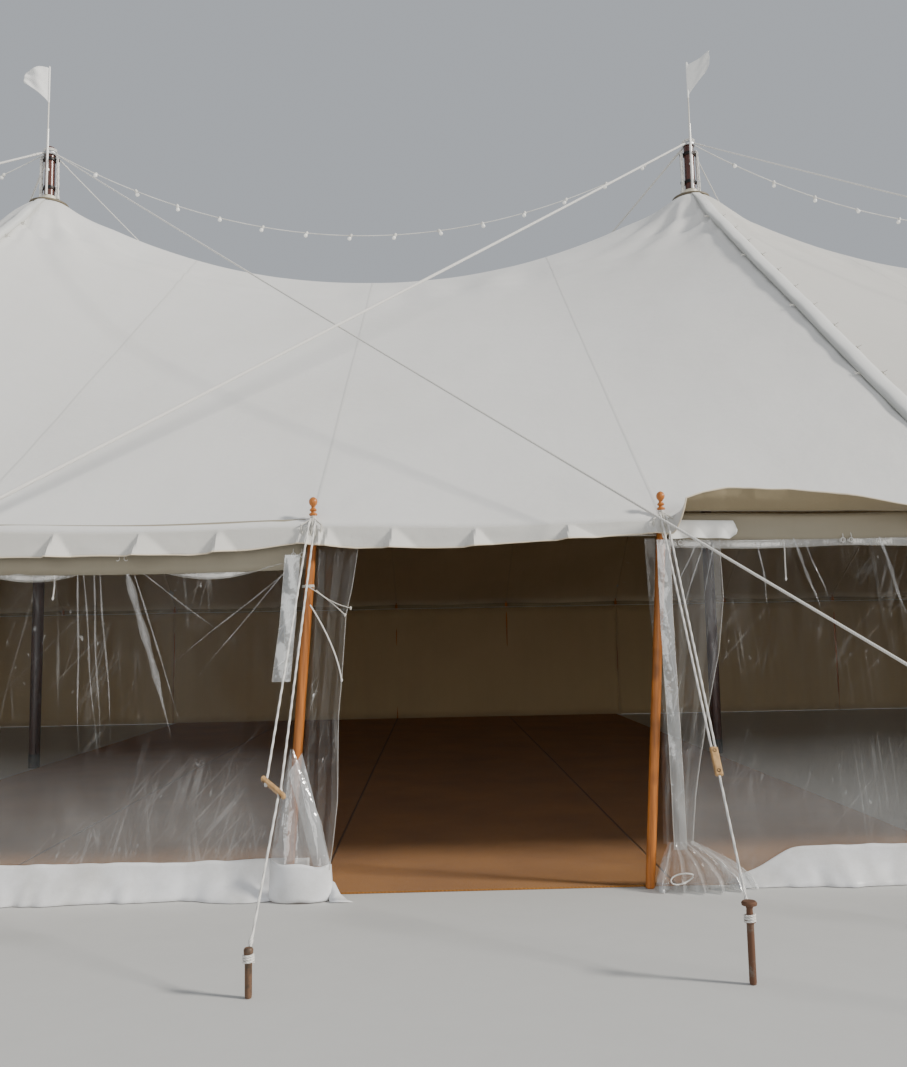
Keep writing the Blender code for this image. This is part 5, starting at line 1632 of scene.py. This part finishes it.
class MarqueeRoofLooks(PropertyGroup):
    """Cloth of the roof, its valance and its lacing covers."""

    canvas: colour("Canvas", "Colour of the white canvas outside", (0.76, 0.755, 0.735))
    # The inside is beige: painted shade for the white canvas seen from below.
    inside: colour("Inside", "Colour of the canvas on its inner side", (0.58, 0.445, 0.255))
    strip: colour("Lacing cover", "Colour of the strips over the lacings", (0.80, 0.80, 0.775))
    binding: colour("Binding", "Colour of the hem's binding", (0.74, 0.65, 0.50))
    fold_depth: length("Fold depth", "Depth of the folds round the crowns", 0.034)
    cloth: length("Cloth", "Thickness of the canvas", 0.003)
    cover_width: length("Cover width", "Width of a lacing cover", 0.158)
    tie_spacing: length("Tie spacing", "Distance between the ties of a cover", 0.4)


class MarqueeTimberLooks(PropertyGroup):
    """Timber and iron."""

    mahogany: colour("King poles", "Colour of the king poles", (0.105, 0.028, 0.015))
    varnished: colour("Side poles", "Colour of the side poles and finials", (0.56, 0.185, 0.032))
    slider: colour("Sliders", "Colour of the wooden sliders", (0.58, 0.36, 0.16))
    rust: colour("Rust", "Colour of the rusted stakes", (0.13, 0.062, 0.034))


class MarqueeLineLooks(PropertyGroup):
    """Ropes and light strings."""

    rope: colour("Rope", "Colour of the ropes", (0.76, 0.74, 0.68))
    storm_rope: length("Storm rope", "Diameter of the heavier storm ropes", 0.025)
    lamps: IntProperty(name="Lamps", description="Lamps on one string", default=14, min=1)
    sag: length("Sag", "How far a light string hangs below its ends", 1.12)
    cable: length("Cable", "Diameter of the light strings' cable", 0.012)


class MarqueeWallLooks(PropertyGroup):
    """Walls, curtains and matting."""

    # The cream is darkened towards brown, partly painted shade for the tent's inside.
    cream: colour("Cloth walls", "Colour of the cream cloth", (0.54, 0.41, 0.225))
    coir: colour("Matting", "Colour of the coir matting", (0.46, 0.195, 0.030))
    fold: length("Folds", "Depth of the folds in the clear walls", 0.012)
    pleat: length("Pleats", "Depth of the pleats in the cloth walls", 0.02)


class MarqueeStageLooks(PropertyGroup):
    """Studio round the marquee."""

    floor: colour("Floor", "Colour of the studio floor", (0.60, 0.60, 0.585))
    key: FloatProperty(name="Key light", description="Strength of the key light", default=4.3, min=0)
    fill: FloatProperty(name="Fill light", description="Strength of the surrounding light", default=0.50,
                        min=0)


def mix_finishes(scene):
    """Every finish, by name."""
    roof, timber = scene.marquee_roof, scene.marquee_timber
    line, wall = scene.marquee_line, scene.marquee_wall
    ground = scene.marquee_stage.floor
    FINISHES.update({
        "canvas": cloth_finish("white_canvas", roof.canvas, (0.60, 0.58, 0.53), 2.0, 0.62, 0.3),
        # Beige for the canvas's inner side: painted shade.
        "shaded canvas inside": cloth_finish("canvas_inside_painted_shade", roof.inside, (0.36, 0.265, 0.14), 2.0, 0.8, 0.5),
        # A darker, warmer copy of the canvas: painted shade.
        "shaded canvas": cloth_finish("canvas_painted_shade", (0.655, 0.64, 0.60), (0.53, 0.50, 0.44), 2.0, 0.62, 0.3),
        "wall canvas": cloth_finish("wall_canvas", (0.70, 0.685, 0.64), (0.50, 0.46, 0.38), 2.0, 0.7, 0.55),
        # A darker copy of the canvas for the upright valance: painted shade.
        "valance": cloth_finish("valance_canvas_painted_shade", (0.655, 0.645, 0.61), (0.52, 0.49, 0.43), 2.0, 0.62, 0.4),
        # Dark brown for the valance's inside, seen where the wind lifts it: painted shade.
        "shaded valance inside": cloth_finish("valance_inside_painted_shade", (0.29, 0.235, 0.14), (0.21, 0.16, 0.085), 2.0, 0.8,
                                       0.5),
        "strip": cloth_finish("cover_canvas", roof.strip, (0.66, 0.65, 0.62), 0.0, 0.6, 0.35),
        # The lacing cover's grey-green edge colour is painted shade.
        "lacing cover": cover_finish("lacing_cover", roof.strip, (0.37, 0.375, 0.345),
                                     cover_girth(roof.cover_width)),
        "binding": cloth_finish("hem_binding", roof.binding, (0.5, 0.42, 0.3), 0.0, 0.7, 0.3),
        # Dark beige for the wall's top band: painted shade.
        "painted shade header": cloth_finish("wall_header", (0.34, 0.305, 0.23), (0.235, 0.20, 0.135), 0.0, 0.75, 0.6),
        "flag": cloth_finish("flag_cloth", (0.86, 0.86, 0.84), (0.70, 0.69, 0.64), 0.0, 0.6, 0.25),
        # Cream cloth for the walls' inside, darkened towards brown as painted shade.
        "cream": cloth_finish("cream_cloth", wall.cream, (0.42, 0.32, 0.18), 0.0, 0.85, 0.5),
        "mahogany": wood_finish("mahogany", darker(timber.mahogany, 0.35), timber.mahogany, 0.25, 0.6),
        "varnished": wood_finish("varnished_wood", darker(timber.varnished, 0.45), timber.varnished, 0.35,
                                 0.25),
        "pale wood": wood_finish("pale_wood", (0.30, 0.16, 0.06), timber.slider, 0.5, 0.1),
        "pale rod": wood_finish("pale_rod", (0.55, 0.51, 0.44), (0.74, 0.72, 0.66), 0.5, 0.1),
        # Near-black wood for the sliders' hole rims: painted shade in the bores.
        "shaded bores": wood_finish("bore_painted_shade", (0.05, 0.03, 0.015), (0.16, 0.10, 0.05), 0.6, 0.0),
        "rope": rope_finish("pale_rope", line.rope, (0.36, 0.33, 0.27)),
        "white rope": rope_finish("white_rope", (0.86, 0.85, 0.82), (0.50, 0.47, 0.41), 0.036),
        "galvanised": metal_finish("galvanised_steel", (0.52, 0.53, 0.54), (0.30, 0.27, 0.23), 0.25, 0.42),
        "pale metal": metal_finish("pale_metal", (0.74, 0.73, 0.70), (0.42, 0.38, 0.31), 0.2, 0.4, 0.35),
        "dark iron": metal_finish("dark_iron", (0.035, 0.034, 0.034), (0.10, 0.05, 0.03), 0.3, 0.45),
        "rusty": metal_finish("rusty_steel", (0.19, 0.155, 0.125), timber.rust, 0.55, 0.5, 0.7),
        "brown stake": metal_finish("brown_stake", (0.10, 0.068, 0.046), (0.16, 0.088, 0.05), 0.45, 0.5, 0.4),
        "cream enamel": sheet_finish("cream_enamel", (0.70, 0.66, 0.55), (0.46, 0.40, 0.29), 0.35),
        # Painted shade: the crown plate's rim is dark brown for the shadow under its edge.
        "shaded rim": sheet_finish("crown_rim_painted_shade", (0.17, 0.135, 0.085), (0.06, 0.052, 0.036), 0.5),
        "white sheet": sheet_finish("white_sheet", (0.82, 0.83, 0.85), (0.55, 0.54, 0.51), 0.3),
        "white rubber": sheet_finish("white_rubber", (0.78, 0.775, 0.74), (0.52, 0.50, 0.45), 0.45),
        "lamp glass": lamp_finish("lamp_white", (0.92, 0.91, 0.86), 0.2),
        # After the haze cover, the clear finishes' numbers set the painted highlight streaks, the crumple
        # with its painted glints and the painted milky reflection towards the foot.
        "clear": clear_finish("clear_sheet", (0.86, 0.88, 0.88), 0.004, 0.07, 0.12, 0.12),
        "clear curtain": clear_finish("clear_curtain", (0.86, 0.88, 0.88), 0.045, 0.40, 0.9, 0.08),
        "film fold": clear_finish("film_fold", (0.90, 0.91, 0.92), 0.085, 0.45, 0.9),
        "film webbing": clear_finish("film_webbing", (0.66, 0.68, 0.68), 0.34, 0.4, 0.5),
        "milky": clear_finish("milky_sheet", (0.80, 0.79, 0.75), 0.22, 0.3, 0.5),
        "milky foot": clear_finish("milky_foot", (0.78, 0.79, 0.79), 0.17, 0.5, 0.9, 0.25),
        "milky lining": clear_finish("milky_lining", (0.86, 0.87, 0.87), 0.55, 0.3, 0.5),
        "coir": coir_finish("coir_matting", wall.coir, (0.20, 0.075, 0.012)),
        "studio floor": sheet_finish("studio_floor", ground, darker(ground, 0.96), 0.8),
    })


SENSOR = 36.0
VIEW_HEIGHT_PX = 1067
VIEW_FOCAL_PX = 972.7
VIEW_PLACE = (0.680, -11.637, 1.383)
FLOOR_CORNERS = [(-60, -40, -0.002), (60, -40, -0.002), (60, 60, -0.002), (-60, 60, -0.002)]


def stage_up(looks):
    """Studio floor, lights and the camera at the photograph's viewpoint."""
    floor = Skin()
    floor.take(FLOOR_CORNERS, [(0, 1, 2, 3)], [(0, 0), (1, 0), (1, 1), (0, 1)], 0)
    show("studio_floor", floor.mesh("studio_floor", ["studio floor"]))
    world = bpy.data.worlds.new("studio")
    bpy.context.scene.world = world
    world.use_nodes = True
    back = world.node_tree.nodes["Background"]
    back.inputs["Color"].default_value = (0.88, 0.93, 1.0, 1.0)
    back.inputs["Strength"].default_value = looks.fill
    for name, strength, spread_angle, direction, tint in (
            ("key_light", looks.key, 8.0, (-0.84, 0.28, -0.47), (1.0, 0.955, 0.88)),
            ("soft_fill", 0.20 * looks.key, 45.0, (0.02, 0.99, -0.10), (1.0, 0.97, 0.93))):
        light = bpy.data.lights.new(name, "SUN")
        light.energy = strength
        light.angle = math.radians(spread_angle)
        light.color = tint
        lamp = show(name, light)
        lamp.rotation_euler = Vector(direction).to_track_quat("-Z", "Y").to_euler()
    lens = bpy.data.cameras.new("view")
    lens.sensor_width = SENSOR
    lens.sensor_fit = "AUTO"
    lens.lens = VIEW_FOCAL_PX / VIEW_HEIGHT_PX * SENSOR
    lens.clip_end = 300.0
    camera = show("view", lens)
    right = Vector((0.9996186, -0.01967154, -0.01938283))
    forward = Vector((0.02166867, 0.9938183, 0.1088837))
    above = Vector((0.01712111, -0.10926217, 0.99386551))
    turn = Matrix((right, above, -forward)).transposed().to_4x4()
    camera.matrix_world = Matrix.Translation(VIEW_PLACE) @ turn
    bpy.context.scene.camera = camera


class MARQUEE_OT_finishes(Operator):
    """Mix the finishes from the current colours"""

    bl_idname = "marquee.finishes"
    bl_label = "Finishes"

    def execute(self, context):
        mix_finishes(context.scene)
        return {"FINISHED"}


class MARQUEE_OT_stage(Operator):
    """Set up the studio floor, lights and camera"""

    bl_idname = "marquee.stage"
    bl_label = "Stage"

    def execute(self, context):
        stage_up(context.scene.marquee_stage)
        return {"FINISHED"}


class MARQUEE_OT_roof(Operator):
    """Build the laced roof canvas"""

    bl_idname = "marquee.roof"
    bl_label = "Roof canvas"

    def execute(self, context):
        build_roof(context.scene.marquee_roof)
        return {"FINISHED"}


class MARQUEE_OT_valances(Operator):
    """Build the pleated valance round the eave"""

    bl_idname = "marquee.valances"
    bl_label = "Valance"

    def execute(self, context):
        build_valances(context.scene.marquee_roof)
        return {"FINISHED"}


class MARQUEE_OT_lacing(Operator):
    """Build the covers over the lacings and their ties"""

    bl_idname = "marquee.lacing"
    bl_label = "Lacing covers"

    def execute(self, context):
        build_lacing_covers(context.scene.marquee_roof)
        return {"FINISHED"}


class MARQUEE_OT_king_poles(Operator):
    """Build the king poles"""

    bl_idname = "marquee.king_poles"
    bl_label = "King poles"

    def execute(self, context):
        build_king_poles()
        return {"FINISHED"}


class MARQUEE_OT_crown_gear(Operator):
    """Build the crown plates, straps and bands on the king poles"""

    bl_idname = "marquee.crown_gear"
    bl_label = "Crown gear"

    def execute(self, context):
        build_crown_gear()
        return {"FINISHED"}


class MARQUEE_OT_flags(Operator):
    """Build the flags with their holders and rods"""

    bl_idname = "marquee.flags"
    bl_label = "Flags"

    def execute(self, context):
        build_flags()
        return {"FINISHED"}


class MARQUEE_OT_storm_ropes(Operator):
    """Build the storm ropes from the king poles to their stakes"""

    bl_idname = "marquee.storm_ropes"
    bl_label = "Storm ropes"

    def execute(self, context):
        build_storm_ropes(context.scene.marquee_line)
        return {"FINISHED"}


class MARQUEE_OT_lights(Operator):
    """Hang the light strings between the king poles"""

    bl_idname = "marquee.lights"
    bl_label = "Light strings"

    def execute(self, context):
        build_lights(context.scene.marquee_line)
        return {"FINISHED"}


class MARQUEE_OT_side_poles(Operator):
    """Build the side poles, door poles, finials and wall ropes"""

    bl_idname = "marquee.side_poles"
    bl_label = "Side poles"

    def execute(self, context):
        build_side_poles()
        return {"FINISHED"}


class MARQUEE_OT_guys(Operator):
    """Build the guy ropes, sliders and stakes"""

    bl_idname = "marquee.guys"
    bl_label = "Guys"

    def execute(self, context):
        build_guys()
        return {"FINISHED"}


class MARQUEE_OT_clear_walls(Operator):
    """Hang the clear walls of the front"""

    bl_idname = "marquee.clear_walls"
    bl_label = "Clear walls"

    def execute(self, context):
        build_clear_walls(context.scene.marquee_wall)
        return {"FINISHED"}


class MARQUEE_OT_cloth_walls(Operator):
    """Hang the cloth walls of the back and ends"""

    bl_idname = "marquee.cloth_walls"
    bl_label = "Cloth walls"

    def execute(self, context):
        build_cloth_walls(context.scene.marquee_wall)
        return {"FINISHED"}


class MARQUEE_OT_door(Operator):
    """Draw back the door curtains with their webbing and ties"""

    bl_idname = "marquee.door"
    bl_label = "Doorway"

    def execute(self, context):
        build_door()
        return {"FINISHED"}


class MARQUEE_OT_floor(Operator):
    """Finish the coir matting"""

    bl_idname = "marquee.floor"
    bl_label = "Matting"

    def execute(self, context):
        build_floor()
        return {"FINISHED"}


OPERATORS = (MARQUEE_OT_finishes, MARQUEE_OT_stage, MARQUEE_OT_roof, MARQUEE_OT_valances, MARQUEE_OT_lacing,
             MARQUEE_OT_king_poles, MARQUEE_OT_crown_gear, MARQUEE_OT_flags, MARQUEE_OT_storm_ropes,
             MARQUEE_OT_lights, MARQUEE_OT_side_poles, MARQUEE_OT_guys, MARQUEE_OT_clear_walls,
             MARQUEE_OT_cloth_walls, MARQUEE_OT_door, MARQUEE_OT_floor)
LOOKS = {"marquee_roof": MarqueeRoofLooks, "marquee_timber": MarqueeTimberLooks,
         "marquee_line": MarqueeLineLooks, "marquee_wall": MarqueeWallLooks,
         "marquee_stage": MarqueeStageLooks}


class MARQUEE_PT_panel(Panel):
    """Lists the marquee's settings and operators"""

    bl_idname = "MARQUEE_PT_panel"
    bl_label = "Marquee"
    bl_space_type = "VIEW_3D"
    bl_region_type = "UI"
    bl_category = "Marquee"

    def draw(self, context):
        for name in LOOKS:
            box = self.layout.box()
            looks = getattr(context.scene, name)
            for setting in looks.bl_rna.properties:
                if setting.identifier not in ("rna_type", "name"):
                    box.prop(looks, setting.identifier)
        for operator in OPERATORS:
            self.layout.operator(operator.bl_idname)


def register():
    """Register the settings, operators and panel."""
    for name, group in LOOKS.items():
        bpy.utils.register_class(group)
        setattr(bpy.types.Scene, name, PointerProperty(type=group))
    for kind in (*OPERATORS, MARQUEE_PT_panel):
        bpy.utils.register_class(kind)


def unregister():
    """Undo register."""
    for kind in (MARQUEE_PT_panel, *reversed(OPERATORS)):
        bpy.utils.unregister_class(kind)
    for name, group in LOOKS.items():
        delattr(bpy.types.Scene, name)
        bpy.utils.unregister_class(group)


def main():
    """Build every piece."""
    register()
    for operator in OPERATORS:
        getattr(bpy.ops.marquee, operator.bl_idname.split(".")[1])()


if __name__ == "__main__":
    main()
